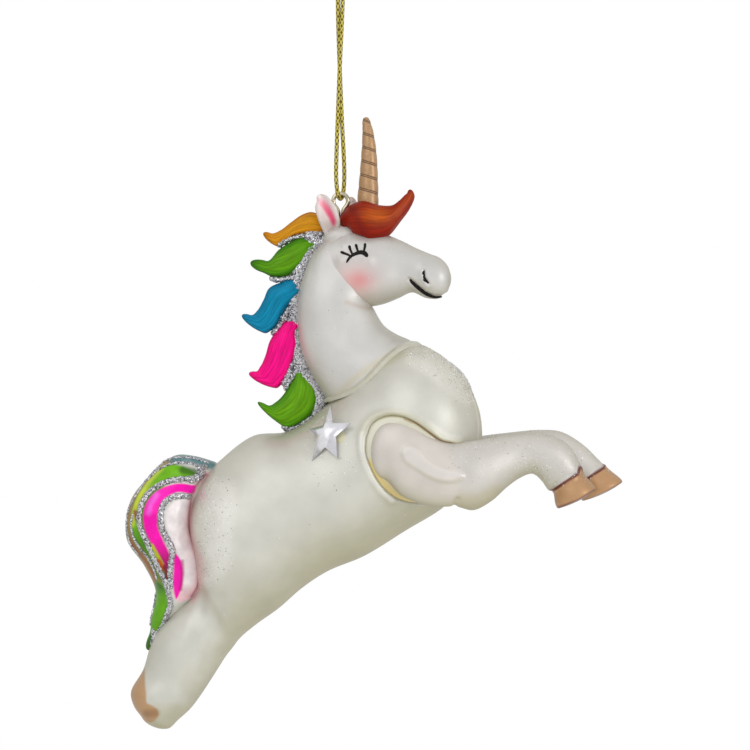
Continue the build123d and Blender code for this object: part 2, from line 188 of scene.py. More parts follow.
def outward(grid):
    """Unit normals of a closed grid: the cross product of its two directions, turned away from its rings."""
    ahead = np.gradient(grid, axis=0)
    round_it = np.roll(grid, -1, axis=1) - np.roll(grid, 1, axis=1)
    normal = np.cross(ahead, round_it)
    normal /= np.linalg.norm(normal, axis=-1, keepdims=True) + 1e-12
    away = ((grid - grid.mean(axis=1, keepdims=True)) * normal).sum(axis=-1)
    return normal * np.sign(np.median(away))


def swell(grid, amount):
    """Moves every point of the grid outwards by its amount, in millimetres."""
    return grid + outward(grid) * np.asarray(amount)[..., None]


# %% [markdown]
# ## Marks on a surface
# Paint, relief and glitter all follow lines of the side view. Their masks come from two measures of a point:
# how far it is from a line, and whether it is inside an outline.

# %% Distance from lines and outlines
outline_step = 3.0


def gap(points, line):
    """The least distance from each point to the runs of a line."""
    line = np.asarray(line, float)
    start, run = line[:-1], np.diff(line, axis=0)
    best = np.full(points.shape[:-1], np.inf)
    for a, b in zip(start, run):
        share = np.clip(((points - a) @ b) / (b @ b + 1e-12), 0, 1)
        best = np.minimum(best, np.linalg.norm(points - a - share[..., None] * b, axis=-1))
    return best


def hill(points, line, reach, height):
    """height * exp(-(distance / reach)^2)."""
    return height * np.exp(-((gap(points, line) / reach) ** 2))


def spot(points, centre, reach):
    """exp(-(x / a)^2 - (y / b)^2) about a centre, where a and b are the reach in x and in y."""
    x, y = points[..., 0] - centre[0], points[..., 1] - centre[1]
    return np.exp(-((x / reach[0]) ** 2 + (y / reach[1]) ** 2))


def inside(points, outline):
    """True where a ray to the right crosses the outline an odd number of times."""
    x, y = points[..., 0], points[..., 1]
    odd = np.zeros(x.shape, bool)
    for (ax, ay), (bx, by) in zip(outline, np.roll(outline, -1, axis=0)):
        crosses = (ay > y) != (by > y)
        reach = ax + (y - ay) * (bx - ax) / (by - ay if by != ay else 1e-9)
        odd ^= crosses & (x < reach)
    return odd


def depth_in(points, outline):
    """Distance inside a smooth closed outline through the given points, negative outside."""
    closed = along_line(np.vstack([outline, outline[:1]]), outline_step)
    return np.where(inside(points, closed[:-1]), 1, -1) * gap(points, closed)


# %% [markdown]
# ## From a grid to a mesh
# A closed skin has a ring of equal points at each tip. They become one vertex, so the tip is really closed,
# and the faces are turned outwards by the sign of the volume that they enclose.

# %% Meshes
same_place = 1e-4


def grid_faces(shape, first, closed_tips, wrap):
    """Numbers of the four corners of each cell; a row of a closed tip is one vertex."""
    along, around = shape
    number = np.arange(along * around).reshape(along, around)
    if closed_tips[0]:
        number[0] = 0
        number[1:] -= around - 1
    if closed_tips[1]:
        number[-1] = number[-2, -1] + 1
    number += first
    if wrap:
        number = np.concatenate([number, number[:, :1]], axis=1)
    corners = [number[:-1, :-1], number[:-1, 1:], number[1:, 1:], number[1:, :-1]]
    return np.stack(corners, axis=-1).reshape(-1, 4)


def points_once(grid, tips):
    """The points of a grid in one list, a closed tip only once."""
    rows = [grid[:1, :1] if tips[0] else grid[:1], grid[1:-1], grid[-1:, :1] if tips[1] else grid[-1:]]
    return np.concatenate([part.reshape(-1, 3) for part in rows])


def charted(along, around):
    """The UV of each cell's four corners, from 0 to 1 along the grid and around it."""
    u, v = np.meshgrid(np.arange(along), np.arange(around), indexing="ij")
    chart = np.stack([np.stack([u + a, v + b], -1) for a, b in ((0, 0), (0, 1), (1, 1), (1, 0))], axis=2)
    return chart.reshape(-1, 4, 2) / np.array([along, around])


def shell(name, points, corners, counts):
    """A mesh from its points in millimetres, the corners of all faces in one row, and each face's count."""
    mesh = bpy.data.meshes.new(name)
    mesh.vertices.add(len(points))
    mesh.vertices.foreach_set("co", (points * mm).ravel())
    mesh.loops.add(len(corners))
    mesh.loops.foreach_set("vertex_index", corners)
    mesh.polygons.add(len(counts))
    mesh.polygons.foreach_set("loop_start", np.cumsum(counts) - counts)
    mesh.update(calc_edges=True)
    return mesh


def placed(name, mesh, material, replaces=(), body="figure"):
    """One object of a mesh, with the body that it rides and the solids that it stands for."""
    mesh.materials.append(material)
    thing = link(bpy.data.objects.new(name, mesh))
    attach(thing, body)
    if replaces:
        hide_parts(*replaces)
    print(name, len(mesh.vertices), "points")
    return thing


def piece(name, grids, material, replaces=(), body="figure", paint=None, wrap=True):
    """One object from grids in millimetres, with a UV map along and around, and colours at the points."""
    grids = grids if isinstance(grids, list) else [grids]
    paints = paint if isinstance(paint, list) else [paint] * len(grids)
    points, faces, counts, charts, colours, first = [], [], [], [], [], 0
    for grid, colour in zip(grids, paints):
        along, around = grid.shape[:2]
        tips = [wrap and np.ptp(grid[k], axis=0).max() < same_place for k in (0, -1)]
        corners = grid_faces((along, around), first, tips, wrap)
        chart = charted(along - 1, around if wrap else around - 1)
        flat = points_once(grid, tips)
        a, b, c, d = (flat[corners[:, k] - first] for k in range(4))
        volume = (np.cross(a, b) * c).sum() + (np.cross(a, c) * d).sum()
        if wrap and volume < 0:
            corners, chart = corners[:, ::-1], chart[:, ::-1]
        keep = corners != np.roll(corners, 1, axis=1)
        points.append(flat)
        faces.append(corners[keep])
        counts.append(keep.sum(axis=1))
        charts.append(chart[keep])
        if colour is not None:
            colours.append(points_once(np.broadcast_to(colour, grid.shape), tips))
        first += len(flat)
    mesh = shell(name, np.concatenate(points), np.concatenate(faces), np.concatenate(counts))
    mesh.uv_layers.new(name="along_around").data.foreach_set("uv", np.concatenate(charts).ravel())
    if colours:
        layer = mesh.attributes.new("paint", "FLOAT_COLOR", "POINT")
        tints = np.concatenate(colours)
        layer.data.foreach_set("color", np.column_stack([tints, np.ones(len(tints))]).ravel())
    mesh.polygons.foreach_set("use_smooth", [True] * len(mesh.polygons))
    return placed(name, mesh, material, replaces, body)


# %% [markdown]
# ## Finishes
# One function adds a node with its settings and links. Colours are written as sRGB hex, the way paint is
# picked on a screen, and turned to linear light once.

# %% Colour and nodes


def tint(code):
    """Linear light from sRGB: c / 12.92 below 0.04045, else ((c + 0.055) / 1.055) ^ 2.4."""
    c = np.array([int(code[i:i + 2], 16) for i in (0, 2, 4)]) / 255
    return np.where(c <= 0.04045, c / 12.92, ((c + 0.055) / 1.055) ** 2.4)


def rgba(code):
    """The same with full cover."""
    return (*tint(code), 1.0)


def add(tree, kind, settings=None, links=None):
    """Adds one node: settings are values of its sockets or its own, links join other outputs to its sockets."""
    made = tree.nodes.new(kind)
    for key, value in (settings or {}).items():
        if isinstance(key, int) or key in made.inputs:
            made.inputs[key].default_value = value
        else:
            setattr(made, key, value)
    for key, source in (links or {}).items():
        tree.links.new(source, made.inputs[key])
    return made


def finish(name, **settings):
    """A material with its main shader; returns the material, its tree and the shader."""
    material = bpy.data.materials.new(name)
    material.use_nodes = True
    shader = material.node_tree.nodes["Principled BSDF"]
    for key, value in settings.items():
        shader.inputs[key.replace("_", " ")].default_value = value
    return material, material.node_tree, shader


def painted(tree):
    """The colours that a mesh carries at its points."""
    return add(tree, "ShaderNodeAttribute", {"attribute_name": "paint"}).outputs["Color"]


def pattern(tree, kind, size, **settings):
    """The outputs of a pattern fixed to the part, whose cells are that many millimetres."""
    place = add(tree, "ShaderNodeTexCoord").outputs["Object"]
    return add(tree, kind, {"Scale": 1.0 / (size * mm), **settings}, {"Vector": place}).outputs


def noise(tree, size, detail=2.0):
    """A cloudy value between 0 and 1."""
    return pattern(tree, "ShaderNodeTexNoise", size, Detail=detail)["Fac"]


def grey_of(tree, cells):
    """One of the three random values that make up a cell's colour."""
    return add(tree, "ShaderNodeSeparateColor", links={0: cells["Color"]}).outputs[0]


def two_tone(tree, shader, value, low, high, start=0.0, stop=1.0):
    """Gives the shader a colour between two tones, as the value goes from start to stop."""
    ramp = add(tree, "ShaderNodeValToRGB", links={"Fac": value})
    for element, code, position in zip(ramp.color_ramp.elements, (low, high), (start, stop)):
        element.color, element.position = rgba(code), position
    tree.links.new(ramp.outputs["Color"], shader.inputs["Base Color"])
    return ramp.color_ramp.elements


def uneven(tree, shader, colour, value, low, high, spread=0.2):
    """Gives the shader a colour times a factor from low to high, as the value goes over its spread at 0.5."""
    span = {"From Min": 0.5 - spread, "From Max": 0.5 + spread, "To Min": low, "To Max": high}
    factor = add(tree, "ShaderNodeMapRange", span, {"Value": value}).outputs["Result"]
    scaled = add(tree, "ShaderNodeVectorMath", {"operation": "SCALE"}, {0: colour, "Scale": factor})
    tree.links.new(scaled.outputs["Vector"], shader.inputs["Base Color"])


def bumpy(tree, shader, value, strength, distance):
    """Leans the shader's normal as if the value were a height."""
    bump = add(tree, "ShaderNodeBump", {"Strength": strength, "Distance": distance}, {"Height": value})
    tree.links.new(bump.outputs["Normal"], shader.inputs["Normal"])


# %% [markdown]
# ### Pearl lacquer
# Glass and resin were both dipped or sprayed with a pearl lacquer: mica flakes in a clear coat. It gives a
# silky, greyish white that turns warm and darker where the surface leans away, with a clear gloss on top.

# %% Pearl lacquer
pearl, tree, shader = finish("mica_pearl_lacquer", Metallic=0.25, Roughness=0.42,
                             Coat_Weight=0.3, Coat_Roughness=0.28)
lean = add(tree, "ShaderNodeLayerWeight", {"Blend": 0.35})
warm = add(tree, "ShaderNodeMix", {"data_type": "RGBA", "blend_type": "MULTIPLY", 7: rgba("CFC9B2")},
           {0: lean.outputs["Facing"], 6: painted(tree)})
uneven(tree, shader, warm.outputs[2], noise(tree, 7.0, 3.0), 0.94, 1.03, spread=0.15)
bumpy(tree, shader, noise(tree, 1.1), 0.12, 0.0002)

# %% [markdown]
# ### Glitter
# Glitter is cut foil, about a quarter of a millimetre across, stuck in a clear glue. Each flake lies at its
# own angle, so it is either bright or dark. A cell pattern gives each flake its own tilt, and its own grey,
# which is painted glint and painted shade on top of what the tilt reflects.

# %% Glitter
glitter, tree, shader = finish("foil_glitter_in_glue", Metallic=0.7, Roughness=0.32,
                               Coat_Weight=0.6, Coat_Roughness=0.1)
cells = pattern(tree, "ShaderNodeTexVoronoi", 0.28)
# Painted glint and shade: a grey for each flake, from dark to bright.
tones = two_tone(tree, shader, grey_of(tree, cells), "4A4A50", "E8E8EC", stop=0.95)
tones.new(0.3).color = rgba("8E8E94")
spread, least = (0.8, 0.8, 0.8), (-0.4, -0.4, -0.4)
tilt = add(tree, "ShaderNodeVectorMath", {"operation": "MULTIPLY_ADD", 1: spread, 2: least},
           {0: cells["Color"]})
normal = add(tree, "ShaderNodeNewGeometry").outputs["Normal"]
leaned = add(tree, "ShaderNodeVectorMath", {"operation": "ADD"}, {0: normal, 1: tilt.outputs[0]})
unit = add(tree, "ShaderNodeVectorMath", {"operation": "NORMALIZE"}, {0: leaned.outputs[0]})
tree.links.new(unit.outputs[0], shader.inputs["Normal"])

# %% [markdown]
# ### Brushed enamel, bronze paint, wire, gem and braid
# The locks are painted by hand, so their colour streaks along them: a noise stretched along the UV map. The
# other finishes are even to the eye, and each has one fine pattern that keeps it from looking like plain
# plastic.

# %% Brushed enamel
enamel, tree, shader = finish("hand_brushed_enamel", Roughness=0.4, IOR=1.22,
                              Coat_Weight=0.04, Coat_Roughness=0.15)
chart = add(tree, "ShaderNodeUVMap", {"uv_map": "along_around"}).outputs["UV"]
stretch = add(tree, "ShaderNodeMapping", {"Scale": (3.0, 42.0, 1.0)}, {"Vector": chart}).outputs[0]
streak = add(tree, "ShaderNodeTexNoise", {"Scale": 1.0, "Detail": 4.0, "Roughness": 0.6}, {"Vector": stretch})
uneven(tree, shader, painted(tree), streak.outputs["Fac"], 0.62, 1.35)
bumpy(tree, shader, streak.outputs["Fac"], 0.25, 0.00025)

# %% Bronze paint
bronze, tree, shader = finish("bronze_powder_paint", Metallic=0.35, Roughness=0.42, Coat_Weight=0.25)
uneven(tree, shader, painted(tree), noise(tree, 0.5, 3.0), 0.85, 1.12)

# %% Wire
wire, tree, shader = finish("tinned_brass_wire", Metallic=1.0, Roughness=0.24)
two_tone(tree, shader, noise(tree, 0.8), "B5AC90", "E4DDC8")

# %% Faceted gem
gem, tree, shader = finish("foil_backed_plastic", Metallic=0.4, Roughness=0.25,
                           Coat_Weight=0.5, Coat_Roughness=0.12)
two_tone(tree, shader, grey_of(tree, pattern(tree, "ShaderNodeTexVoronoi", 2.6)), "CCCCD4", "F6F6FA")

# %% Metallic braid
braid, tree, shader = finish("metallic_yarn_braid", Metallic=0.45, Roughness=0.4)
tree.links.new(painted(tree), shader.inputs["Base Color"])

# %% [markdown]
# ## The cord
# A metallic braid, one millimetre thick, goes down through the wire eye and back up, and its ends are knotted
# above the hook. It hangs taut under the figure's weight. A NURBS spline gives its smooth line, and the braid
# is a tube round that line, whose radius rises where a yarn passes over.

# %% Cord line
cord_radius = 0.5
eye_height, eye_wire = -55.0, 0.5
under_eye = eye_height - eye_wire - 0.15 - cord_radius
cord_route = np.array([
    (0.55, 0, 5.5), (0.62, 0, 4.2), (1.62, 0.03, 1.6), (1.62, -0.03, -1.4), (0.62, 0, -5.5),
    (0.42, -0.1, -13.5), (-0.2, -0.56, -26), (-0.7, -0.15, -39.5), (-1, -0.75, -47.6), (-1.05, -1.1, -52),
    (-0.55, -1.15, under_eye), (0.45, 1.15, under_eye),
    (0.88, 1.1, -52), (0.8, 0.75, -47.6), (0.34, 0.12, -39.5), (-0.22, 0.56, -26), (-0.64, 0.06, -13.5),
    (-0.6, 0, -5.5), (-1.62, -0.03, -1.4), (-1.62, 0.03, 1.6), (-0.62, 0, 4.2), (-0.55, 0, 5.5),
])


def spline_points(name, route):
    """The points of a NURBS curve with the route's points as its control points, in millimetres."""
    curve = bpy.data.curves.new(name, "CURVE")
    curve.dimensions = "3D"
    curve.resolution_u = 48
    spline = curve.splines.new("NURBS")
    spline.points.add(len(route) - 1)
    spline.points.foreach_set("co", np.column_stack([route * mm, np.ones(len(route))]).ravel())
    spline.order_u = 3
    spline.use_endpoint_u = True
    holder = link(bpy.data.objects.new(name, curve))
    bpy.context.view_layer.update()
    line = bpy.data.meshes.new_from_object(holder.evaluated_get(bpy.context.evaluated_depsgraph_get()))
    points = np.empty(len(line.vertices) * 3)
    line.vertices.foreach_get("co", points)
    bpy.data.objects.remove(holder)
    bpy.data.meshes.remove(line)
    return points.reshape(-1, 3) / mm


def even_steps(points, step):
    """The same line at even steps of its length, and the length at each of them."""
    keep = np.concatenate([[True], np.linalg.norm(np.diff(points, axis=0), axis=1) > 1e-6])
    points = points[keep]
    marks = lengths(points)
    at = np.linspace(0, marks[-1], int(marks[-1] / step) + 1)
    return np.stack([np.interp(at, marks, points[:, k]) for k in range(3)], axis=-1), at


def circles(points, turn):
    """Unit circles across a line, first * cos(turn) + second * sin(turn), with first as near to y as can be."""
    ahead = np.gradient(points, axis=0)
    ahead /= np.linalg.norm(ahead, axis=1, keepdims=True)
    first = np.array([0.0, 1.0, 0.0]) - ahead * ahead[:, 1:2]
    first /= np.linalg.norm(first, axis=1, keepdims=True)
    second = np.cross(ahead, first)
    return first[:, None] * np.cos(turn)[:, None] + second[:, None] * np.sin(turn)[:, None]


def braided(points, at, yarns=3, pitch=4.5, around=24):
    """radius * (0.84 + 0.16 * rise), where rise is the higher of the waves cos(yarns * (turn +- along)). The
    middle of each end ring is its closed tip, and the colour is painted shade: the yarn is dark where it lies
    low."""
    turn = turns(around)
    wave = tau * at[:, None] / pitch
    rise = np.maximum(np.cos(yarns * (turn + wave)), np.cos(yarns * (turn - wave)))
    reach = cord_radius * (0.84 + 0.16 * rise)[..., None]
    grid = points[:, None] + reach * circles(points, turn)
    tips = [np.broadcast_to(grid[k].mean(axis=0), grid[:1].shape) for k in (0, -1)]
    # Painted shade: dark where the yarn lies low, light where it rises over.
    light = soft_step(rise, 0.1, 0.85)[..., None]
    colour = tint("554A12") * (1 - light) + tint("D2C258") * light
    return np.concatenate([tips[0], grid, tips[1]]), np.concatenate([colour[:1], colour, colour[-1:]])


cord_points, cord_marks = even_steps(spline_points("cord_line", cord_route), 0.12)
cord_grid, cord_tint = braided(cord_points, cord_marks)
print("cord length", round(cord_marks[-1], 1), "mm")

# %% Knot
knot_height, knot_reach, tail_height = 7.3, 0.92, 8.6
knot_turn = turns(260)
lobe = knot_reach * (0.62 + 0.38 * np.cos(knot_turn * 3))
knot_line = np.stack([lobe * np.cos(knot_turn * 2), lobe * np.sin(knot_turn * 2),
                      knot_height + 1.15 * np.sin(knot_turn * 3)], axis=-1)
tied = [braided(knot_line, lengths(knot_line))]
rise = np.linspace(0, 4.2, 36)
for lean in (-1, 1):
    tail_line = np.stack([lean * (0.25 + 0.24 * rise), 0 * rise, tail_height + rise * 0.97], axis=-1)
    tied.append(braided(tail_line, rise))
knot = piece("knotted_ends", [grid for grid, _ in tied], braid, ["cord_knot"], "cord",
             [colour for _, colour in tied])
cord = piece("braided_cord", cord_grid, braid, ["hanging_cord"], "cord", cord_tint)

# %% [markdown]
# ## The blown body
# Back and belly of the glass are read every centimetre or two. The shell is one long skin, dished at the
# shoulders where the forelegs are glued in. The dish follows the socket's outline in the side view.

# %% Body outlines
chest_rows = [
    (452, 363.5, 471, 388, 0.96), (435.5, 351.5, 480.5, 416, 0.95), (412, 343, 480, 454, 0.94),
    (384, 349, 466, 484, 0.92), (354, 375, 445, 506, 0.90), (321, 409.5, 405, 531, 0.91),
    (287, 431.5, 363, 556.5, 0.91), (253, 436, 328, 571, 0.88), (224, 457, 302, 588, 0.88),
    (200, 482.5, 279, 608, 0.90), (188.5, 516, 258, 623, 0.93), (193.5, 559, 240, 638, 1.03),
    (193, 588, 233, 647, 1.06), (173, 609, 226, 656, 1.06), (152.5, 640, 212, 678, 1.05),
    (143, 670, 201, 694.5, 1.05), (131, 692, 190, 709, 1.05), (134, 706, 178.5, 719.5, 1.12),
    (142, 717.5, 168, 728.5, 1.2),
]
chest_tip, hoof_tip = (463.2, 374.3), (153.0, 726.5)
tail_rows = [
    (213, 461, 214, 484, 0.90), (195, 456, 209, 490, 0.95), (175, 455.5, 204, 500, 1.00),
    (150, 475.5, 198, 510, 1.02), (130, 502, 196, 527, 0.98), (126.5, 538, 199, 542.6, 0.92),
    (144.5, 566, 208, 563.2, 1.02), (155.5, 590, 208, 586.4, 1.12), (151.5, 615, 190, 607, 1.00),
    (148.5, 636, 168, 630, 0.80),
]
tail_root, tail_tip = (221.0, 472.0), (150.5, 650.0)

# %% Shoulder sockets
socket_sink, lip_height = 2.4, 0.36
glue_below, glue_tuck = 0.12, 1.4
shoulder_px = [(366, 437), (372.5, 422.5), (385, 416), (399, 416), (414, 422), (428, 432), (440, 440.5),
               (452, 444), (456, 462), (450, 486), (436, 500), (414, 502), (400, 498.5), (388, 491),
               (378, 479.5), (371, 466), (366, 451)]
lip_line = [(392, 499), (381, 489), (371, 475), (364.5, 461), (361.5, 446), (362, 433), (369, 419.5),
            (383.8, 412.5), (399, 412.5), (416, 419), (431, 430), (441, 438.5), (458, 442)]


def dished(grid, side):
    """Sinks the skin inside the socket's outline, and adds exp(-(distance / reach)^2) along its rolled lip."""
    at = picture(grid)
    facing = soft_step(grid[..., 1] * side, 4.0, 7.0)
    sink = soft_step(depth_in(at, shoulder_px), -1.5, 2.5) * facing
    lip = hill(at, along_line(lip_line, outline_step), 4.0, lip_height) * facing
    return swell(grid, lip * (1 - sink) - socket_sink * sink)


def glue_fill(grid, side):
    """The part of the whole body's skin over the socket, just below the lip and tucked in at its border."""
    at = picture(grid)
    about = (depth_in(at, shoulder_px) > -5) & (grid[..., 1] * side > 3.0)
    rows, columns = np.nonzero(about.any(axis=1))[0], np.nonzero(about.any(axis=0))[0]
    filled = swell(grid, -glue_below - glue_tuck * (1 - soft_step(depth_in(at, shoulder_px), -3.0, 1.0)))
    sheet = filled[rows[0]:rows[-1] + 1, columns[0]:columns[-1] + 1]
    lean = np.cross(sheet[1:, 1:] - sheet[1:, :-1], sheet[1:, 1:] - sheet[:-1, 1:])[..., 1].sum()
    return sheet if lean * side > 0 else sheet[:, ::-1]


whole_grid = skin(chest_rows, chest_tip, hoof_tip, 360, 240)
glue_grids = [glue_fill(whole_grid, side) for side in (-1, 1)]
body_grid = dished(dished(whole_grid, -1), 1)
at = picture(body_grid)
folds = [[(196, 600), (186, 645), (178, 700)], [(214, 590), (204, 640), (192, 690)], [(232, 600), (222, 640)]]
valleys = [[(205, 592), (195, 642), (186, 694)], [(223, 596), (213, 640), (203, 672)]]
raised = sum(hill(at, line, 8.0, 0.16) for line in folds)
body_grid = swell(body_grid, raised + sum(hill(at, line, 6.0, -0.20) for line in valleys))
tail_grid = skin(tail_rows, tail_root, tail_tip, 240, 150)

# %% Outlines of neck, head and legs
neck_rows = [
    (347, 427, 425, 371, 0.72), (336, 415, 424, 353, 0.74), (325, 398, 411, 341, 0.74),
    (312, 376, 397, 334.5, 0.74), (301, 352, 384, 325.5, 0.74), (297, 325, 375, 311, 0.75),
    (297.5, 298, 368, 295, 0.78), (302.5, 275, 376, 270.5, 0.62), (311.5, 254, 372, 245.5, 0.62),
    (323, 238, 364, 230, 0.64),
]
neck_root, neck_top = (391.0, 408.0), (337.5, 224.5)
head_rows = [
    (330, 236, 322, 284, 0.75), (349, 228, 344.5, 300, 0.68), (368, 231, 365, 306, 0.69),
    (386, 234.5, 384, 303.5, 0.70), (402, 241, 399, 298, 0.72), (416, 248, 412.5, 292.5, 0.82),
    (429, 253.5, 426, 298, 0.86), (440, 258, 438, 299, 0.88), (447.5, 265.5, 446, 294, 0.92),
    (450.3, 273, 449.8, 286, 1),
]
nape, muzzle = (312.0, 262.0), (451.2, 279.5)
near_leg_rows = [
    (378, 427, 384, 478, 0.44, -0.91), (395, 419.8, 401, 494, 0.42, -0.92),
    (414, 423.3, 420, 502, 0.41, -0.92), (432.5, 434.3, 438, 505, 0.44, -0.90),
    (450, 442, 455, 505, 0.46, -0.87), (469, 440, 473, 508.5, 0.50, -0.80), (485, 438, 490, 500, 0.56, -0.72),
    (501, 435.5, 506, 486, 0.65, -0.64), (517, 434, 519, 477, 0.74, -0.57),
    (534, 432.5, 531, 473, 0.80, -0.52), (552, 435.5, 540, 479.5, 0.78, -0.48),
    (570, 447.5, 547, 489, 0.74, -0.45), (579.5, 465, 552, 490, 0.90, -0.44),
    (582.5, 472.5, 552.5, 492, 1.04, -0.44), (594, 489, 557.5, 507.5, 0.94, -0.44),
]
far_leg_rows = [
    (379, 430, 384, 478, 0.46, 0.91), (396, 422.5, 401, 494, 0.44, 0.92), (415, 426, 420, 500, 0.43, 0.92),
    (433, 436, 438, 501, 0.44, 0.90), (450, 441, 455, 499, 0.46, 0.87), (469, 438.5, 474, 500, 0.50, 0.80),
    (486, 436, 493, 493, 0.56, 0.72), (504, 433.8, 510, 481, 0.65, 0.64), (521, 431.8, 525, 474, 0.74, 0.57),
    (540, 430.3, 541, 470.5, 0.80, 0.52), (560, 431.5, 551, 471, 0.80, 0.48),
    (583, 444, 565, 479, 0.80, 0.45), (606, 466, 580, 484.5, 0.96, 0.44), (612, 471, 580.5, 487, 1.02, 0.44),
    (623.6, 483, 584.5, 501.6, 0.92, 0.44),
]
leg_root, near_toe, far_toe = (370.5, 457.0), (577.0, 500.0), (605.5, 494.0)

# %% [markdown]
# ## Relief
# The casting's details are pushes of the skin along its own normals. Each is a smooth hill or groove whose
# height is a function of the distance to a line or outline of the side view.

# %% Neck, head and their relief
jaw_line = [(346.4, 301), (357.8, 305), (371.2, 308)]
jaw_blend, cheek_blend = 0.7, 3.6
section_reach = 1.5


def depth_of(at, rows, start, end):
    """Half depth of a skin at points of the side view: d * sqrt(1 - u^2), averaged over its sections, each
    weighted by exp(-(offset / reach)^2), where offset is the point's distance from the section's line."""
    cx, cy, hx, hy, depth, _ = even_sections(rows, start, end, 150)
    half = np.hypot(hx, hy) + 1e-6
    dx, dy = at[:, :1] - cx, at[:, 1:] - cy
    u = (dx * hx + dy * hy) / half**2
    weight = np.exp(-(((dx * hy - dy * hx) / half / section_reach) ** 2))
    deep = (weight * depth * np.sqrt(np.clip(1 - u * u, 0, 1))).sum(axis=1)
    return deep / (weight.sum(axis=1) + 1e-3) * mm_per_px


def blended(grid, rows, start, end):
    """Adds (k - |a - b|)^2 / 4k to the depth a of this skin, where b is the other's: both then meet with one
    slope. k is small along the jaw, whose crease stays, and grows over the cheek."""
    at = picture(grid)
    k = jaw_blend + cheek_blend * soft_step(gap(at, jaw_line), 2.0, 12.0)
    own = np.abs(grid[..., 1])
    other = depth_of(at.reshape(-1, 2), rows, start, end).reshape(own.shape)
    both = soft_step(other, 0.0, k) * soft_step(own, 0.0, k)
    grow = np.maximum(k - np.abs(own - other), 0) ** 2 / (4 * k) * both
    out = grid.copy()
    out[..., 1] += np.sign(grid[..., 1]) * grow
    return out


neck_grid = skin(neck_rows, neck_root, neck_top, 170, 150)
head_grid = skin(head_rows, nape, muzzle, 240, 260)
neck_grid, head_grid = (blended(neck_grid, head_rows, nape, muzzle),
                        blended(head_grid, neck_rows, neck_root, neck_top))

at = picture(head_grid)
mouth = [(409.5, 279.5), (417.1, 286.7), (424.8, 293), (433.4, 296.8), (442.5, 296.8), (447, 294.5)]
nostril = [(423.8, 270.6), (424.2, 277.5), (428.4, 283.8)]
head_grid = swell(head_grid, (
    hill(at, [(343, 262), (351, 258), (360, 255), (368, 260)], 7.0, 0.55)
    + hill(at, [(351, 281), (372, 288)], 15.0, 0.55)
    + hill(at, [(372, 262), (400, 270)], 9.0, -0.25)
    + hill(at, nostril, 5.0, 0.35)
    + hill(at, nostril, 1.6, -0.45)
    + hill(at, mouth, 1.7, -0.40)
    + hill(at, [(345, 246), (356, 243), (368, 245)], 5.0, 0.25)
))

# %% [markdown]
# ### Ears
# Each ear is a leaf, rounded behind and hollow in front. The hollow is a push of the outer face by a little
# more than its own bulge, so the wall stays thin in the middle and thick at the rim.

# %% Ears
near_ear_rows = [
    (325.5, 236.5, 340, 231, 0.42, -0.06), (318.5, 221, 340, 219.5, 0.44, -0.23),
    (315.4, 208, 336, 207, 0.42, -0.30), (317, 200, 329.5, 199, 0.40, -0.31),
]
near_ear_root, near_ear_tip = (334.5, 240.0), (321.0, 195.0)
far_ear_rows = [
    (336.5, 231.5, 351, 233, 0.42, 0.06), (339.5, 219.5, 358, 222.5, 0.44, 0.23),
    (343, 207, 359.5, 210, 0.42, 0.30), (347.5, 200.5, 357, 202.5, 0.40, 0.31),
]
far_ear_root, far_ear_tip = (342.0, 240.0), (351.5, 196.0)


def hollowed(grid, side, cup=1.35):
    """Moves the outer face in by cup * depth * (1 - across^2)^2, with across from -1 to 1 over the leaf."""
    middle = grid.mean(axis=1, keepdims=True)
    turn = turns(grid.shape[1])
    face = np.clip(np.sin(turn) * side, 0, None) ** 0.5
    deep = np.abs(grid[..., 1] - middle[..., 1]).max(axis=1, keepdims=True)
    push = cup * deep * face * np.sin(turn) ** 4
    out = grid.copy()
    out[..., 1] -= side * push
    return out


near_ear_grid = hollowed(skin(near_ear_rows, near_ear_root, near_ear_tip, 90, 80), -1)
far_ear_grid = hollowed(skin(far_ear_rows, far_ear_root, far_ear_tip, 90, 80), 1)

# %% Forelegs
near_leg_grid = skin(near_leg_rows, leg_root, near_toe, 240, 120)
far_leg_grid = skin(far_leg_rows, leg_root, far_toe, 240, 120)
teardrop = [(400, 452), (403, 446), (410, 443), (418, 447), (425, 455), (434, 462), (447, 467), (460, 470),
            (464, 475), (456, 480), (442, 481), (427, 476), (413, 467), (404, 461)]
hoof_line = [(548.5, 492.5), (556, 487.5), (566, 480.5), (576, 474), (579.5, 468)]
elbow_line = [(452, 508), (456.5, 498)]
teardrop_height, rim_height, elbow_depth = 0.5, 0.22, 0.4


def leg_relief(grid, side, shift=(0.0, 0.0)):
    """A raised teardrop on the shoulder, a swollen rim at the hoof's top, and a notch behind the elbow."""
    at = picture(grid) - np.asarray(shift)
    outer = soft_step(grid[..., 1] * side, 12.5, 14.0)
    raised = soft_step(depth_in(at, teardrop), -2.0, 4.0) * outer * teardrop_height
    rim = hill(at, hoof_line, 2.2, rim_height)
    return swell(grid, raised + rim + hill(at, elbow_line, 2.4, -elbow_depth))


near_leg_grid = leg_relief(near_leg_grid, -1)
far_leg_grid = leg_relief(far_leg_grid, 1, (28.0, -4.5))

# %% [markdown]
# ## Lines laid on a skin
# Glitter glue, painted lashes and the mouth are beads that follow the skin. Each bead takes the nearest point
# of the skin under its line, and lifts a flat oval along it.

# %% Beads


def on_skin(grid, line, side, step=0.9):
    """Points and smoothed normals of a skin under a line of the side view, on its near (-1) or far (1) half."""
    flat = along_line(line, step)
    normal = outward(grid)
    half = normal[..., 1] * side > 0.02
    places, leans, at = grid[half], normal[half], picture(grid[half])
    nearest = np.argmin((at**2).sum(axis=1)[:, None] - 2 * at @ flat.T, axis=0)
    points = side_view(flat, places[nearest, 1])
    normals = leans[nearest]
    for _ in range(3):
        points[1:-1] = (points[:-2] + 2 * points[1:-1] + points[2:]) / 4
        normals[1:-1] = (normals[:-2] + 2 * normals[1:-1] + normals[2:]) / 4
    return points, normals / np.linalg.norm(normals, axis=1, keepdims=True)


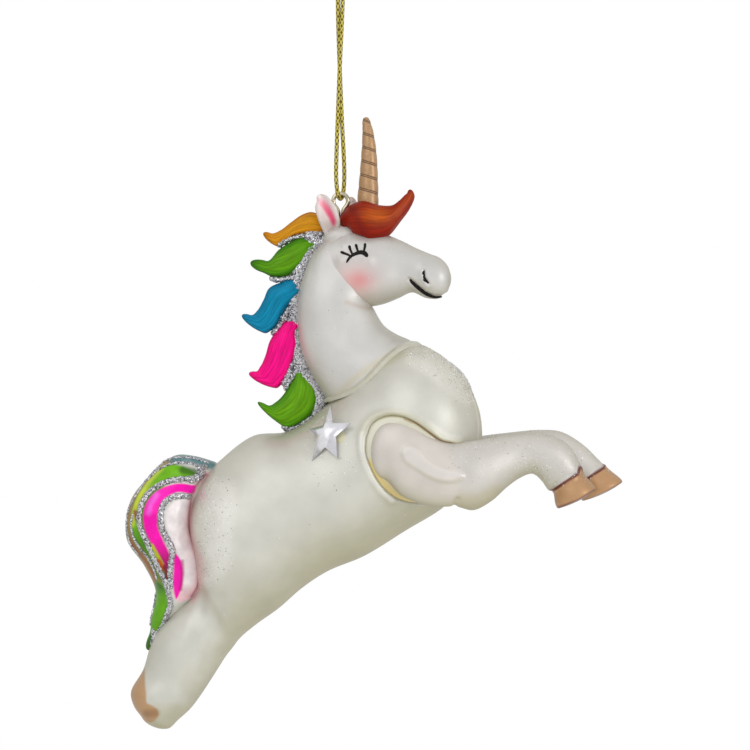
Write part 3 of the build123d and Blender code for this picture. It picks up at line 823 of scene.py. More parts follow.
def bead(points, normals, width, height, rough=0.0, seed=1, around=14):
    """An oval of that width and height carried along a line, thin at its ends, with bumps of the rough size."""
    ahead = np.gradient(points, axis=0)
    across = np.cross(ahead, normals)
    across /= np.linalg.norm(across, axis=1, keepdims=True) + 1e-12
    run = np.linspace(0, 1, len(points))
    size = np.clip(np.minimum(run, 1 - run) * len(points) / 4, 0, 1) ** 0.5
    size = size * (1 + 0.12 * np.sin(run * len(points) * 0.9 + seed)) if rough else size
    turn = turns(around)
    widths = np.broadcast_to(width, size.shape) * size / 2
    grid = points[:, None] + across[:, None] * (widths[:, None] * np.cos(turn))[..., None]
    grid = grid + normals[:, None] * ((height * size)[:, None] * np.sin(turn))[..., None]
    if rough:
        bumps = np.random.default_rng(seed).normal(0, rough, grid.shape[:2])
        grid = grid + outward(grid) * (bumps * (size[:, None] > 0.5))[..., None]
    return grid


def beads_on(grid, lines, width, height, rough=0.05):
    """Rough beads for several lines on one skin, on both its halves."""
    return [bead(*on_skin(grid, line, side), width * mm_per_px, height, rough, seed=k + 3)
            for side in (-1, 1) for k, line in enumerate(lines)]


# %% [markdown]
# ## Paint
# The airbrushed colours follow the side view as well. Each layer is a colour and a mask, and layers are mixed
# from the first to the last, as the painter sprays them. A few layers are painted shade and painted highlights
# rather than paint; a comment says so at each.

# %% Paint layers
pearl_code = "D4D3CA"


def layered(shape, base, layers):
    """base, then mixed towards each layer's colour by its mask."""
    colour = np.broadcast_to(tint(base), (*shape, 3)).copy()
    for code, mask in layers:
        colour += (tint(code) - colour) * np.clip(mask, 0, 1)[..., None]
    return colour


def within(at, outline, soft=0.8):
    """1 inside an outline, 0 outside, over a soft edge of that many pixels."""
    return soft_step(depth_in(at, outline), -soft, soft)


def near(at, line, reach, soft=1.2):
    """1 within that distance of a line."""
    return 1 - soft_step(gap(at, line), reach - soft, reach + soft)


def painted_shade_below(grid):
    """How far a skin faces down, 0 to 1: the mask for the shade painted under it."""
    return soft_step(-outward(grid)[..., 2], 0.0, 1.0)


crease = [(206.9, 473.7), (199.2, 482.1), (192.9, 492.6), (191.2, 503.2), (189.4, 517.2), (189.8, 527.7),
          (193.6, 541.7), (199.2, 558.5), (199.8, 571.1), (198.4, 584.6), (192.2, 595.6)]
hind_hoof = [(145.2, 668), (137.9, 675.1), (132.8, 681.5), (129, 689.7), (128, 698), (134, 705),
             (137.9, 712.1), (143.6, 720), (150.6, 721.5), (157, 717.8), (159.8, 711.4), (158.3, 707.2),
             (153.8, 703.6), (148.4, 701.5), (147.4, 692), (146, 680)]
brown_edge = [(404, 418.5), (416, 423), (430, 433), (442, 441), (458, 444.5)]

at = picture(body_grid)
haunch_patch = [(201, 486), (214, 478), (230, 482), (234, 520), (228, 566), (206, 584), (200, 540)]
chest_patch = [(404, 340), (432, 350), (458, 368), (474, 394), (470, 404), (446, 390), (424, 374), (404, 360)]
haunch, chest = within(at, haunch_patch, 8.0), within(at, chest_patch, 5.0)
body_tint = layered(at.shape[:2], pearl_code, [
    # Painted shade: khaki where the glass faces down.
    ("B8B38E", painted_shade_below(body_grid) * 0.8),
    ("C6C298", near(at, along_line(lip_line[5:], outline_step), 2.4, 3.4) * 0.45),
    # Painted highlight: a pale band along the left of the rolled lip.
    ("EEECE2", near(at, lip_line[:6], 2.6, 2.0) * 0.6),
    ("BAB68A", near(at, [(418, 346), (398, 356), (374, 370), (352, 386), (338, 400)], 2.0, 5.0) * 0.55),
    ("9A7448", near(at, brown_edge, 1.1, 0.9) * 0.85),
    ("F4F2EC", haunch * 0.5 + chest * 0.45),
    # The chest's front edge: the thin glass's own pale yellow-green tint with painted rim light, then a thin
    # painted highlight line along it.
    ("D6D6BE", near(at, [(462, 378), (473, 396), (479, 416), (482, 438)], 3.5, 3.0) * 0.35),
    ("F8F7F2", near(at, [(452, 369), (466, 385), (475, 404), (478, 424), (477.5, 442)], 0.7, 0.8) * 0.6),
    ("E6A9B4", hill(at, crease, 5.0, 0.55)),
    ("C29A70", within(at, hind_hoof, 1.0)),
    ("9A7048", near(at, [(147.5, 712), (156.5, 711)], 4.0, 3.0) * 0.7),
])
piece("blown_body", body_grid, pearl, ["glass_body"], paint=body_tint)

# %% [markdown]
# ### Glue in the shoulder
# The root of each foreleg was set in the socket with epoxy, which has yellowed. It lies pale round the top
# and stands thicker and more golden at the lower edge, where it ran down while it set.

# %% Shoulder glue
yellowed, tree, shader = finish("yellowed_epoxy", Roughness=0.16, Coat_Weight=0.5, Coat_Roughness=0.05)
tree.links.new(painted(tree), shader.inputs["Base Color"])
golden_line = [(370, 462), (380, 478), (391, 490), (403, 499), (415, 504)]


def glue_tint(grid):
    """Pale glue, brown at the body's edge, greenish along the lip and golden where it ran down."""
    at = picture(grid)
    return layered(at.shape[:2], "D8D5C2", [
        ("9A7448", near(at, brown_edge, 1.1, 0.9) * 0.85),
        ("CFCBA0", near(at, along_line(lip_line[4:11], outline_step), 4.5, 3.5) * 0.6),
        ("DCC67E", near(at, golden_line, 3.8, 3.0)),
    ])


piece("shoulder_glue", glue_grids, yellowed, ["near_shoulder_glue", "far_shoulder_glue"],
      paint=[glue_tint(grid) for grid in glue_grids], wrap=False)

# %% [markdown]
# ### The tail
# The tail lobe is glass too. Transparent pinks and greens were sprayed over it, and glitter glue was drawn
# with a nozzle along the borders of the colours, which is why it stands proud.

# %% Tail paint
magenta_band = [(197.2, 485), (178, 483), (161, 488.8), (149.4, 499.3), (144.6, 514.6), (146.6, 530),
                (153.3, 543.3), (161.9, 556.7), (169.5, 570), (171.5, 556), (164.7, 539.5), (159, 524),
                (160, 510.8), (166.6, 497.4), (178, 491.5), (195.8, 491.5)]
magenta_lens = [(175.3, 550.5), (181, 557), (184, 572), (182.5, 587.3), (177.2, 598), (174.5, 585.4),
                (175, 568)]
white_band = [(166, 511), (178, 499.2), (191.5, 498.3), (188.6, 516.5), (191.5, 535.6), (199.2, 554.8),
              (198.2, 585.4), (191.5, 597), (178, 600), (180, 592), (184, 572), (181, 556.7), (174.3, 547.1),
              (169, 531.8)]
lime_band = [(197, 473.6), (191.5, 469.6), (178, 464.8), (162.8, 467.7), (149.4, 480.1), (139.4, 494.5),
             (133.6, 509.8), (131.6, 524.2), (135.6, 539.5), (145, 552), (153, 561), (158, 569), (160.5, 566),
             (156, 556), (147, 545), (141.8, 533.7), (137.6, 522.2), (137, 510.8), (144.2, 494.6),
             (155.7, 485.3), (172.4, 478.3), (189.6, 476)]
lower_lime = [(156, 580), (163, 584), (168.5, 596), (169, 606), (164.5, 620), (157, 635), (151, 640),
              (149, 628), (152, 612), (155.7, 600.7)]
tan_line = [(176, 460), (163, 464.5), (150, 473.5), (139, 486.5), (131, 501.5), (128.3, 520), (129.8, 538),
            (137, 550), (146, 560), (153.5, 573), (157.5, 587)]

at = picture(tail_grid)
rows_px = at[..., 1]
tail_tint = layered(at.shape[:2], pearl_code, [
    ("7C9040", soft_step(gap(at, crease), 24, 32) * (1 - soft_step(rows_px, 596, 606))),
    ("F8F0F1", within(at, white_band, 2.0)),
    ("DE9AA6", hill(at, crease, 3.0, 0.6)),
    ("F2B4BE", soft_step(rows_px, 578, 596) * within(at, white_band, 2.0) * 0.7),
    ("4E7F1E", soft_step(gap(at, crease), 26, 34) * soft_step(-rows_px, -600, -560) * 0.6),
    ("9C8040", near(at, tan_line, 3.4, 1.2)),
    ("8A4A1E", near(at, tan_line[6:], 2.2, 1.6) * 0.8),
    ("4E8088", near(at, [(174, 459), (192, 458), (212, 465)], 4.5, 3.0) * 0.9),
    ("70B808", within(at, lime_band, 0.9)),
    # Painted highlight: a yellow spot on the outer curve of the lime band.
    ("C8D73C", within(at, lime_band, 1.2) * spot(at, (141, 500), (15, 15))),
    ("3E7A10", within(at, lime_band, 1.0) * soft_step(rows_px, 520, 545) * 0.8),
    ("2E5C10", near(at, [(184, 469.5), (195, 472)], 4.0, 2.5) * 0.8),
    # Painted highlight: a yellow line along the outer edge of the lime band.
    ("D2D838", near(at, [(162, 468), (149, 482), (140, 497), (135, 512), (134, 524)], 2.0, 2.0) * 0.75),
    ("FF00B4", within(at, magenta_band, 0.8)),
    # Painted highlight: violet on the upper part of the magenta band.
    ("E070E8", near(at, [(158, 494), (152, 503), (150, 512)], 2.5, 2.5) * 0.6),
    ("8E0A3C", within(at, magenta_band, 0.8) * soft_step(rows_px, 536, 568) * 0.9),
    ("B9C316", near(at, [(153, 545), (158, 554), (162.5, 562.5)], 2.3, 1.0)),
    ("C25A12", near(at, [(160, 560), (164.5, 567)], 2.3, 1.2)),
    ("7A0C2A", near(at, [(165.5, 566), (168, 572), (167.5, 579)], 2.0, 1.0) * 0.9),
    ("8A1040", near(at, [(136, 511), (137.5, 518)], 1.8, 1.0) * 0.8),
    ("8E6A24", near(at, [(141, 548), (149, 558), (154, 568)], 2.2, 1.4) * 0.7),
    ("FF00B4", within(at, magenta_lens, 0.8)),
    ("9A5A62", near(at, along_line(crease, outline_step), 0.7, 0.7) * 0.75),
    ("C0007C", near(at, [(183.5, 560), (184, 572), (182, 588)], 1.6, 1.2) * 0.7),
    ("63A80F", within(at, lower_lime, 1.2)),
    ("2C5A14", within(at, lower_lime, 1.2) * (1 - soft_step(rows_px, 584, 598)) * 0.8),
    ("2C5A14", near(at, [(160, 633), (155, 643), (151.5, 648)], 3.0, 2.0) * 0.7),
    ("3A6A14", soft_step(rows_px, 628, 636)),
    ("6E1030", near(at, [(160.5, 631), (163.5, 633.5)], 1.8, 1.0) * 0.8),
])
gloss, tree, shader = finish("transparent_airbrush_enamel", Roughness=0.3, IOR=1.25, Coat_Weight=0.25,
                             Coat_Roughness=0.12, Metallic=0.1)
uneven(tree, shader, painted(tree), noise(tree, 2.5, 3.0), 0.86, 1.1)
piece("tail_lobe", tail_grid, gloss, ["glass_body"], paint=tail_tint)

# %% Tail glitter
wide_lines = [
    [(199.2, 479), (186, 478.3), (174.6, 479.3), (157.1, 486.3), (148.7, 493.3), (143.1, 503.2),
     (140.3, 513.7), (141, 524.2), (145.2, 534.7), (150.1, 545.3), (155, 557), (161, 570), (166.9, 581.6),
     (169.5, 592.1), (171.5, 602.6), (168, 613.2), (164.1, 623.7), (158.5, 633.2), (152.9, 641.6)],
    [(192.8, 496.2), (183, 495.3), (174.6, 496.1), (165.5, 502.2), (162.3, 513.7), (163.9, 527.7),
     (168.8, 538.2), (173.6, 547.4), (173.2, 556), (171.6, 566), (171.6, 577), (172, 588)],
    [(206, 471), (198, 476), (190, 482.5)],
    [(209, 466.5), (203, 467), (196, 469.5)],
    [(205, 476), (200, 477), (196, 481)],
    [(152, 628), (155, 637), (151.5, 645)],
]
thin_lines = [
    [(210, 463.5), (200, 459.5), (188, 457.3), (176, 457.6), (166, 461), (155.5, 470.5), (145, 482.5),
     (137, 495), (130.5, 506), (127.6, 518), (128, 532), (131.5, 544), (140, 555)],
    [(200, 466), (186, 462.3), (172, 463.5), (158, 470.5), (147, 481)],
    [(134.5, 512), (132, 524), (135, 537), (141, 547), (149, 556.5), (154.5, 567.5), (158.5, 580)],
    [(156.2, 592), (155, 604), (152.4, 614), (150, 626)],
]
tail_beads = beads_on(tail_grid, wide_lines, 6.0, 0.38) + beads_on(tail_grid, thin_lines, 3.2, 0.28)
piece("tail_glitter", tail_beads, glitter)

# %% [markdown]
# ### Neck and head
# The head is one resin casting. The blush is sprayed, and lashes, nostril and mouth are brushed on in black.

# %% Neck and head
at = picture(neck_grid)
neck_tint = layered(at.shape[:2], "D3D1CE", [
    # Painted shade: khaki where the neck faces down, and a darker band under the jaw, where the head overhangs
    # it.
    ("B9B491", painted_shade_below(neck_grid) * 0.45),
    ("B7A596", hill(at, [(347, 302.5), (357.8, 306.5), (371.2, 309.2)], 2.6, 0.45)),
    ("CFC8AE", hill(at, [(418, 343), (396, 352), (371, 366), (351, 381.5), (336, 397), (327, 404)], 3.5, 0.7)),
    ("E7C3C1", hill(at, [(300, 300), (300, 345), (318, 385)], 6.0, 0.15)),
])
piece("neck", neck_grid, pearl, ["head_and_neck"], paint=neck_tint)
at = picture(head_grid)
head_tint = layered(at.shape[:2], "D2D0CD", [
    # Painted shade: khaki where the head faces down.
    ("B9B491", painted_shade_below(head_grid) * 0.35),
    ("E9BDB9", spot(at, (352, 282), (24, 17)) * 0.55),
    ("DE8A8A", spot(at, (359, 281), (13, 10)) * 0.75),
])
piece("head", head_grid, pearl, ["head_and_neck"], paint=head_tint)
rose = [(318.6, 199.7), (324, 201), (329, 206.5), (333, 214), (335.6, 223.5), (334.2, 226), (329, 218),
        (324, 210), (320.3, 204.5)]
ears = []
for grid, side, shift in ((near_ear_grid, -1, (0, 0)), (far_ear_grid, 1, (22, 1.5))):
    at = picture(grid) - np.array(shift)
    front = soft_step(outward(grid)[..., 1] * side, -0.1, 0.4)
    ears.append(layered(at.shape[:2], "E3D6D4", [
        ("F2A4B4", within(at, rose, 3.0) * front),
        ("EE4F7C", within(at, rose, 1.8) * front * soft_step(at[..., 1], 196, 216)),
    ]))
piece("ears", [near_ear_grid, far_ear_grid], pearl, ["head_and_neck"], paint=ears)

# %% Brushed face
ink, tree, shader = finish("black_brush_enamel", Roughness=0.55, IOR=1.3)
two_tone(tree, shader, noise(tree, 0.6), "060505", "120D0B")


def strokes(grid, lines):
    """Thin beads whose width follows the brush's pressure: a list of widths along each line."""
    made = []
    for side in (-1, 1):
        for line, widths in lines:
            points, normals = on_skin(grid, line, side, 0.4)
            run = np.linspace(0, 1, len(points))
            width = np.interp(run, np.linspace(0, 1, len(widths)), widths) * mm_per_px
            made.append(bead(points + normals * 0.07, normals, width, 0.08, around=10))
    return made


face_lines = [
    ([(346.6, 263.6), (348.2, 260.4), (351.2, 257), (355.9, 254.4), (360.7, 253), (365, 254.2), (367.6, 257.8)],
     [1.6, 2.4, 3.0, 3.6, 4.4, 5.0, 3.4]),
    ([(340.6, 252.2), (344.0, 253.8), (348.6, 255.6), (351.5, 257.6)], [3.2, 2.6, 2.2, 2.0]),
    ([(349.2, 245.8), (350.0, 249.0), (352.8, 255.6)], [2.9, 2.4, 1.9]),
    ([(355.9, 244.4), (356.6, 247.5), (358.4, 253.2)], [2.9, 2.4, 1.9]),
    ([(365.2, 243.6), (364.9, 247.5), (363.6, 252.8)], [2.9, 2.4, 1.9]),
    (mouth[:5], [4.2, 4.4, 4.0, 3.8, 2.8]),
    (nostril, [3.0, 6.0, 3.2]),
]
piece("brushed_face_lines", strokes(head_grid, face_lines), ink)

# %% [markdown]
# ### Forelegs
# Each foreleg is a resin casting with a broad shoulder. Its hoof is painted bronze with a dark line on top.

# %% Forelegs
near_hoof = [(547.5, 491.5), (552.5, 489.3), (560, 484), (568, 478.5), (576.5, 473), (578.5, 466.5),
             (584.5, 472.5), (600, 489), (577, 503), (557, 512)]
shoulder_patch = [(370, 440), (384, 424), (410, 420), (446, 440), (452, 506), (404, 506), (378, 482)]


def leg_tint(grid, shift):
    """Pearl, with painted khaki shade below and along the forearm's lower edge, and bronze inside the hoof's
    outline with a dark line along its top.
    """
    at = picture(grid) - np.asarray(shift)
    return layered(at.shape[:2], "D2CEC8", [
        ("DCD3CC", within(at, shoulder_patch, 6.0) * 0.5),
        # Painted shade: khaki along the forearm's lower edge.
        ("BDB48C", near(at, [(462, 500), (480, 500), (494, 492)], 8.0, 6.0) * 0.5),
        ("EFE8E4", within(at, teardrop, 3.0) * 0.4),
        # Painted shade: khaki where the leg faces down.
        ("B4AF8A", painted_shade_below(grid) * 0.7),
        ("6E2A1A", near(at, near_hoof[:7], 1.9, 0.7)),
        ("C09468", within(at, near_hoof, 0.5) * (1 - near(at, near_hoof[:7], 0.9, 0.5))),
        ("7A3B22", near(at, [(556, 507.5), (577, 499.5), (594, 489.5)], 1.9, 1.0) * 0.9),
    ])


piece("near_leg", near_leg_grid, pearl, ["near_foreleg"], paint=leg_tint(near_leg_grid, (0, 0)))
piece("far_leg", far_leg_grid, pearl, ["far_foreleg"], paint=leg_tint(far_leg_grid, (29, -5.0)))

# %% [markdown]
# ### Horn
# The horn is a tapering cone with a double spiral groove. The height over the pitch, less the share of a turn,
# says how far a point is from one round of the spiral to the next, and the grooves are cut at two such shares.

# %% Horn
groove_pitch, groove_depth, groove_width, blunt = 3.2, 0.10, 0.035, 0.7
horn_line = np.array([
    (367.4, 214, 2.45), (367.9, 200, 2.42), (368.6, 180, 2.15), (369, 160, 1.86), (368.6, 142, 1.50),
    (367, 126, 1.05), (365.9, 119.5, 0.72), (365.6, 117.6, 0.40), (365.5, 117, 0),
])
marks = lengths(horn_line[:, :2])
line = flow(marks, horn_line, np.linspace(0, marks[-1], 620))
axis_points, taper = side_view(line[:, :2]), line[:, 2:3]
turn = turns(72)
phase = (-axis_points[:, 2:] / groove_pitch - turn / tau) % 1.0
groove = sum(np.exp(-(((phase - place) / groove_width) ** 2)) for place in (0.44, 0.56))
belly = 1 + 0.012 * np.cos(tau * phase)
reach = np.clip(taper, 0, None) * belly - groove_depth * groove * (taper > blunt)
horn_grid = axis_points[:, None] + reach[..., None] * circles(axis_points, turn)
horn_grid = np.concatenate([np.broadcast_to(axis_points[0], horn_grid[:1].shape), horn_grid])
groove = np.concatenate([groove[:1], groove])
horn_tint = layered(groove.shape, "B0885F", [("3E2010", groove * 0.95), ("C09A72", (1 - groove) * 0.35)])
piece("spiral_horn", horn_grid, bronze, ["horn"], paint=horn_tint)

# %% [markdown]
# ### Hair
# Forelock and mane locks are fat leaves that curl to a point. Shallow grooves run along each of them, as a
# brush leaves them in clay: a wave round the section that turns a little along its length.

# %% Forelock and mane locks
forelock_rows = [
    (343, 212, 346.5, 231, 1.20), (351, 205, 352.5, 236.5, 1.28), (364.5, 201, 366, 241.8, 1.18),
    (378, 205, 378, 240.6, 1.15), (390.5, 205.5, 388.5, 236, 1.05), (399, 200.5, 400.5, 221.5, 0.95),
    (404.5, 195, 409.5, 209, 0.85), (407.5, 191.8, 414.3, 198.5, 0.85),
]
forelock_root, forelock_tip = (339.5, 225.0), (412.3, 190.5)
mane_rows = {
    "top": ((325, 224), [
        (313, 212.5, 318, 233, 0.75), (303, 214.5, 306, 233.5, 0.80), (291, 222.5, 293.5, 236, 1.00),
        (280, 230.5, 284, 241, 1.05), (271, 233.3, 276.5, 246, 0.70)], (263.5, 235.5)),
    "upper": ((319, 244), [
        (311, 238, 309.5, 253, 0.95), (300, 237.5, 300, 266, 0.60), (289.5, 242.5, 288.5, 275, 0.52),
        (279, 249.5, 274.5, 277, 0.55), (266.5, 261, 262, 272, 0.80)], (250.5, 262.3)),
    "middle": ((300, 283), [
        (283, 281.5, 297, 298, 0.75), (269.5, 288, 289, 304.5, 0.65), (263.5, 300, 281.5, 315, 0.65),
        (257.5, 310, 275.5, 326, 0.58), (250.5, 315, 264.5, 333, 0.48)], (243.5, 319.5)),
    "lower": ((296, 319), [
        (279.5, 327, 298, 331, 0.80), (270, 341, 298, 346, 0.60), (265.5, 355, 293.5, 362, 0.55),
        (260, 366.5, 284.5, 380, 0.50), (255.5, 371.5, 276, 388, 0.42)], (252.5, 378.5)),
    "last": ((302.5, 366.5), [
        (294.5, 374.5, 309, 376, 0.85), (289.5, 384.5, 318, 391, 0.55), (283.5, 394.5, 317, 408, 0.48),
        (275.5, 402, 303.5, 422, 0.50), (267, 405, 286.5, 428, 0.45)], (260.5, 407.5)),
}
# Each lock: its paint, a lighter tone for a painted highlight along its broad faces, a darker tone for painted
# shade at its edges, which also darkens its tip, and a resin name that the code does not use.
lock_tints = {
    "top": ("C88208", "DCA020", "8A3E08", "yellow_resin"),
    "upper": ("3F8202", "7CB40E", "143C04", "green_resin"),
    "middle": ("007AA0", "0092B8", "004A66", "blue_resin"),
    "lower": ("F4007E", "FF0494", "A00450", "pink_resin"),
    "last": ("4C9004", "86C010", "143C04", "green_resin"),
}


def combed(grid, strands, twist, height):
    """Swells the skin by height * cos(strands * turn + twist * along), and by nothing at the tips."""
    turn = turns(grid.shape[1])
    run = np.linspace(0, 1, grid.shape[0])[:, None]
    fade = np.clip(np.sin(math.pi * run) * 2.5, 0, 1)
    return swell(grid, height * np.cos(strands * turn + twist * run) * fade)


for name, (root, rows, tip) in mane_rows.items():
    grid = combed(skin(rows, root, tip, 130, 96, fullness=0.75), 9, 5.0, 0.07)
    base, light, dark, slot = lock_tints[name]
    run = np.linspace(0, 1, grid.shape[0])[:, None] + np.zeros(grid.shape[1])
    turn = turns(grid.shape[1])
    # Painted highlight along the middle of each broad face, and painted shade where the lock turns away at its
    # edges; the same dark tone darkens the tip.
    colour = layered(grid.shape[:2], base, [
        (light, 0.4 * np.exp(-(((np.sin(turn) ** 2 - 0.9) / 0.35) ** 2)) * np.sin(math.pi * run)),
        (dark, soft_step(np.abs(np.cos(turn)), 0.82, 1.0) * 0.55 + soft_step(run, 0.82, 1.0) * 0.5),
    ])
    piece(f"{name}_lock", grid, enamel, [f"{name}_mane_lock"], paint=colour)

forelock_grid = combed(skin(forelock_rows, forelock_root, forelock_tip, 170, 120, fullness=0.6), 7, 4.0, 0.05)
at = picture(forelock_grid)
forelock_grid = swell(forelock_grid, hill(at, [(342, 223), (348, 230), (356, 236), (365, 239)], 1.8, -0.30))
forelock_tint = layered(at.shape[:2], "8A1A04", [
    # Painted highlight: the orange-lit middle of the curl.
    ("C25A18", spot(at, (377, 216), (16, 8)) * 0.9),
    ("B04A1C", near(at, [(396, 214), (404, 204), (411, 195)], 3.0, 3.0) * 0.7),
    ("6E0F0C", hill(at, [(352, 208), (358, 222), (364, 232)], 4.5, 0.55)),
    # Painted shadow along the lower edge, under the curl.
    ("5A0A0A", near(at, [(340, 226), (346, 233), (353, 239), (362, 242.5), (374, 243)], 2.4, 1.6) * 0.85),
])
piece("forelock_curl", forelock_grid, enamel, ["forelock"], paint=forelock_tint)

# %% [markdown]
# ### Glitter crest
# A band of glitter glue runs down the neck, and thin webs of it follow the borders of the locks. Both have a
# bumpy skin, with a little random height at each of its points.

# %% Glitter crest
band_root, band_tip = (312.0, 228.0), (315.0, 420.0)
web_width, web_height, bump_height = 1.45, 1.25, 0.05
band_rows = [
    (303, 233, 324, 241, 0.58), (298, 245, 317, 256, 0.60), (291, 274, 308, 277, 0.76),
    (288, 297, 303, 299, 0.80), (288, 319, 301, 320, 0.82), (290, 345, 303, 343.5, 0.84),
    (292, 366, 310.5, 360.5, 0.70), (304, 389.5, 321, 379.5, 0.66), (311, 406, 330.5, 396.5, 0.56),
]
band_grid = skin(band_rows, band_root, band_tip, 260, 70)
bumps = np.random.default_rng(5).normal(0, bump_height, band_grid.shape[:2])
bumps[[0, -1]] = 0
band_grid = swell(band_grid, bumps)
web_lines = [
    [(277, 247), (282, 243), (289, 239), (298, 236.5), (308, 234.5), (319, 233), (324, 236)],
    [(323, 234), (321.5, 244), (312, 256), (304, 268), (300.5, 283), (298, 300), (297, 318), (298, 335),
     (300, 350), (304, 361), (310, 372), (318.5, 384), (323.5, 395), (322.5, 404), (316, 412.5), (308, 419.5),
     (296, 427), (284, 430.5)],
    [(269, 277.5), (277, 279.5), (286, 278.5), (294, 276.5), (301, 272)],
    [(296, 280), (296.5, 292), (294, 303), (287.5, 311), (283, 320), (278, 328), (271, 335)],
    [(284, 318), (291, 321), (296, 331), (298, 345), (297, 356), (291, 366), (287, 376), (282, 386)],
    [(284.5, 391), (289, 382), (295, 373.5), (301.5, 367.5), (308, 372), (314, 381)],
    [(292, 368), (288, 377), (283, 386)],
    [(300, 426), (290, 429), (281, 426)],
]
webs = [band_grid]
for k, line in enumerate(web_lines):
    points = side_view(along_line(line, 0.9))
    across = np.tile((0.0, 1.0, 0.0), (len(points), 1))
    webs.append(bead(points, across, web_width, web_height, bump_height, seed=k + 11, around=26))
piece("glitter_crest", webs, glitter, ["mane_glitter_band"])

# %% [markdown]
# ## Star, glue under it and wire eye
# The star is a cast plastic gem with a foil back. Ten flat facets meet at its middle, and its corners were
# read from the side view, since it was glued on a little askew. The neck's glue and the wire eye keep their
# solids.

# %% Star
star_corners_px = [(333.9, 406.7), (335.7, 424.1), (353.1, 424.6), (338.8, 437.5), (340.4, 458.5),
                   (328.1, 448.2), (315.4, 461.6), (321, 437.5), (311.8, 430.8), (326.3, 426.8)]
star_middle_px, blob_middle_px = (330.6, 434.6), (336.0, 438.0)
star_under, star_rim, star_peak = 1.0, 1.5, 3.3
flat_xz = side_view(np.vstack([star_corners_px, star_middle_px]))
seat, lean = on_skin(whole_grid, [(329, 434), (332, 435)], -1, 1.0)
seat, lean = seat.mean(axis=0), lean.mean(axis=0) * (1, 1, 0.6)
lean /= np.linalg.norm(lean)
back = flat_xz.copy()
back[:, 1] = seat[1] - ((flat_xz - seat) @ (lean * (1, 0, 1))) / lean[1]
corner, heart = back[:10], back[10]
star_points = np.concatenate([corner + lean * star_under, corner + lean * star_rim,
                              [heart + lean * star_peak, heart + lean * star_under]])
k = np.arange(10)
after = (k + 1) % 10
walls = np.stack([k, after, after + 10, k + 10], axis=1)
facets = np.stack([k + 10, after + 10, np.full(10, 20)], axis=1)
under = np.stack([after, k, np.full(10, 21)], axis=1)
star_mesh = shell("star", star_points, np.concatenate([walls.ravel(), facets.ravel(), under.ravel()]),
                  np.concatenate([np.full(10, 4), np.full(20, 3)]))
placed("star", star_mesh, gem, ["star_gem"])

# %% Glue under the star
blob_sink, blob_height = 0.6, 1.7
bend, turn = np.linspace(0, tau / 4, 24)[:, None], turns(60)
first = np.cross(lean, (0, 0, 1))
first /= np.linalg.norm(first)
second = np.cross(lean, first)
blob_reach = 3.6 + 0.35 * np.sin(2 * turn + 1.0) + 0.2 * np.sin(3 * turn)
blob = (seat + side_view(blob_middle_px) - side_view(star_middle_px) - lean * blob_sink)[None, None] + (
    first * (np.sin(bend) * blob_reach * np.cos(turn))[..., None]
    + second * (np.sin(bend) * blob_reach * np.sin(turn))[..., None]
    + lean * (blob_height * np.cos(bend) + 0 * turn)[..., None])
blob = np.concatenate([blob, np.broadcast_to(blob[-1:].mean(axis=1, keepdims=True), blob[:1].shape)])
piece("star_glue_blob", blob, yellowed, ["star_glue"], paint=tint("CFCBA8"))

# %% Neck glue and wire eye
seam, tree, shader = finish("pearl_over_glue", Metallic=0.2, Roughness=0.42, Coat_Weight=0.3)
two_tone(tree, shader, noise(tree, 2.0), "C2BFA8", "CECCC0")
for name, material in (("neck_glue", seam), ("hanging_eye", wire)):
    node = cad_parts[name]
    node.data.materials.clear()
    node.data.materials.append(material)

# %% [markdown]
# ## Loose flakes
# A little fine glitter was dusted on the haunch, round the star, on the chest and on the forelegs, and less of
# it elsewhere. Each flake is a small square of foil that lies nearly flat on the lacquer.

# %% Flakes
lean_spread, lift, scatter = 0.28, 0.04, 0.12
elsewhere = 0.02


def dust(grid, weight, count, seed, size=0.16):
    """Corners of small squares at random points of a skin, chosen by weight, each tilted at random."""
    rng = np.random.default_rng(seed)
    normal = outward(grid).reshape(-1, 3)
    points = grid.reshape(-1, 3)
    chance = np.clip(weight, 0, None).ravel()
    pick = rng.choice(len(points), count, p=chance / chance.sum())
    lean = normal[pick] + rng.normal(0, lean_spread, (count, 3))
    lean /= np.linalg.norm(lean, axis=1, keepdims=True)
    first = np.cross(lean, rng.normal(0, 1, (count, 3)))
    first /= np.linalg.norm(first, axis=1, keepdims=True)
    second = np.cross(lean, first)
    half = (size * rng.uniform(0.5, 1.1, count) / 2)[:, None]
    centre = points[pick] + normal[pick] * lift + rng.normal(0, scatter, (count, 3)) * first
    ring = [centre + half * (a * first + b * second) for a, b in ((1, 1), (-1, 1), (-1, -1), (1, -1))]
    return np.stack(ring, axis=1)


spark, tree, shader = finish("clear_hologram_flakes", Metallic=0.15, Roughness=0.25, Coat_Weight=0.6)
cells = pattern(tree, "ShaderNodeTexVoronoi", 0.3)
two_tone(tree, shader, grey_of(tree, cells), "6E6C68", "FFFFFF", 0.1, 0.28)

at = picture(body_grid)
starry = within(at, [(300, 436), (316, 418), (350, 424), (360, 446), (346, 486), (312, 480)], 8.0)
shin = [(450, 438), (560, 425), (615, 465), (550, 480), (500, 470), (450, 490)]
brow = soft_step(-picture(head_grid)[..., 1], -262, -240)
flakes = [dust(body_grid, haunch + 0.8 * chest + 0.35 * starry + 0.004, 5200, 1, size=0.2)]
flakes += [dust(grid, within(picture(grid), shin, 10.0) + elsewhere, 1500, seed)
           for grid, seed in ((near_leg_grid, 7), (far_leg_grid, 8))]
flakes.append(dust(head_grid, brow + elsewhere, 260, 12))
flakes.append(dust(neck_grid, np.ones(neck_grid.shape[:2]), 500, 13))
corners = np.concatenate(flakes)
flake_mesh = bpy.data.meshes.new("loose_flakes")
squares = np.arange(len(corners) * 4).reshape(-1, 4)
flake_mesh.from_pydata((corners.reshape(-1, 3) * mm).tolist(), [], squares.tolist())
placed("loose_flakes", flake_mesh, spark)

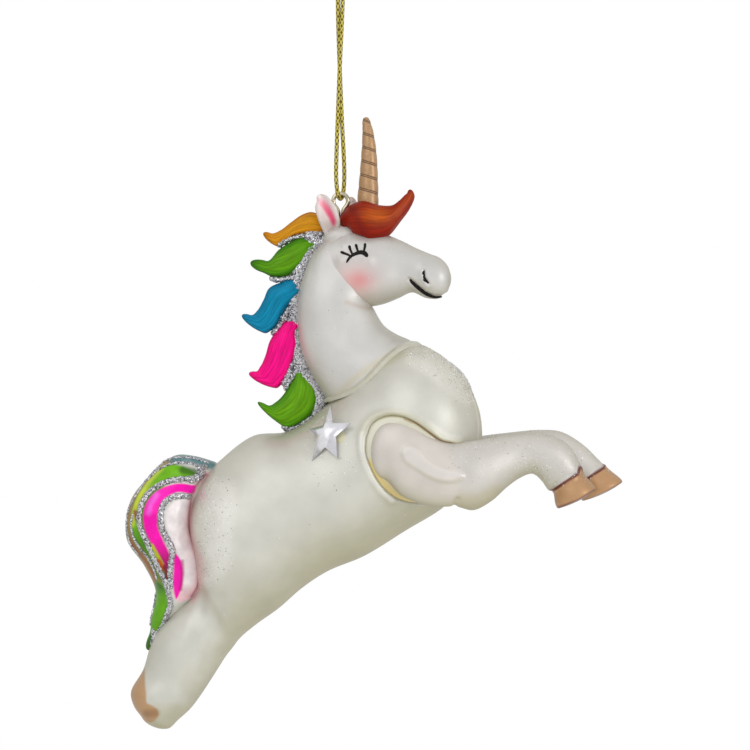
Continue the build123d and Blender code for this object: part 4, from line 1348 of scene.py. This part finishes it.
# %% [markdown]
# ## Studio
# The photograph was lit in a white tent, with more light from above. The world is a pale dome that darkens
# downwards. One soft key light in front gives the highlights on chest and haunch, and a small one fills the
# side.

# %% Studio
world = bpy.data.worlds.new("white_tent")
bpy.context.scene.world = world
world.use_nodes = True
tree = world.node_tree
dome = tree.nodes["Background"]
where = add(tree, "ShaderNodeTexCoord")
axes = add(tree, "ShaderNodeSeparateXYZ", links={0: where.outputs["Generated"]})
dome_span = {"From Min": -0.7, "From Max": 0.6, "To Min": 0.44, "To Max": 0.82}
light = add(tree, "ShaderNodeMapRange", dome_span, {"Value": axes.outputs["Z"]})
seen = add(tree, "ShaderNodeLightPath")
both = add(tree, "ShaderNodeMix", {3: 1.0}, {0: seen.outputs["Is Camera Ray"], 2: light.outputs["Result"]})
dome.inputs["Color"].default_value = (1, 1, 1, 1)
tree.links.new(both.outputs[0], dome.inputs["Strength"])


def softbox(name, place, size, power):
    """A square area light that looks at the figure."""
    data = bpy.data.lights.new(name, "AREA")
    data.size, data.energy = size, power
    lamp = link(bpy.data.objects.new(name, data))
    lamp.location = place
    away = np.array(place) - aim
    flat = math.hypot(away[0], away[1])
    lamp.rotation_euler = (math.atan2(flat, away[2]), 0, math.atan2(away[1], away[0]) + math.pi / 2)


aim = np.array([0.0, 0.0, -0.11])
softbox("key", (-0.35, -0.7, 0.35), 0.7, 1.5)
softbox("fill", (0.75, -0.5, 0.02), 0.35, 1.6)
bpy.context.scene.view_settings.view_transform = "Standard"

floor_radius, floor_level, floor_corners = 0.8, -0.27, 96
floor_mesh = bpy.data.meshes.new("floor")
turn = turns(floor_corners)
rim = np.stack([floor_radius * np.cos(turn), floor_radius * np.sin(turn), 0 * turn + floor_level], axis=-1)
floor_mesh.from_pydata(rim.tolist(), [], [list(range(floor_corners))])
floor = link(bpy.data.objects.new("floor", floor_mesh))
paper, tree, shader = finish("matt_paper_floor", Roughness=0.9)
shader.inputs["Base Color"].default_value = rgba("F4F4F2")
floor_mesh.materials.append(paper)
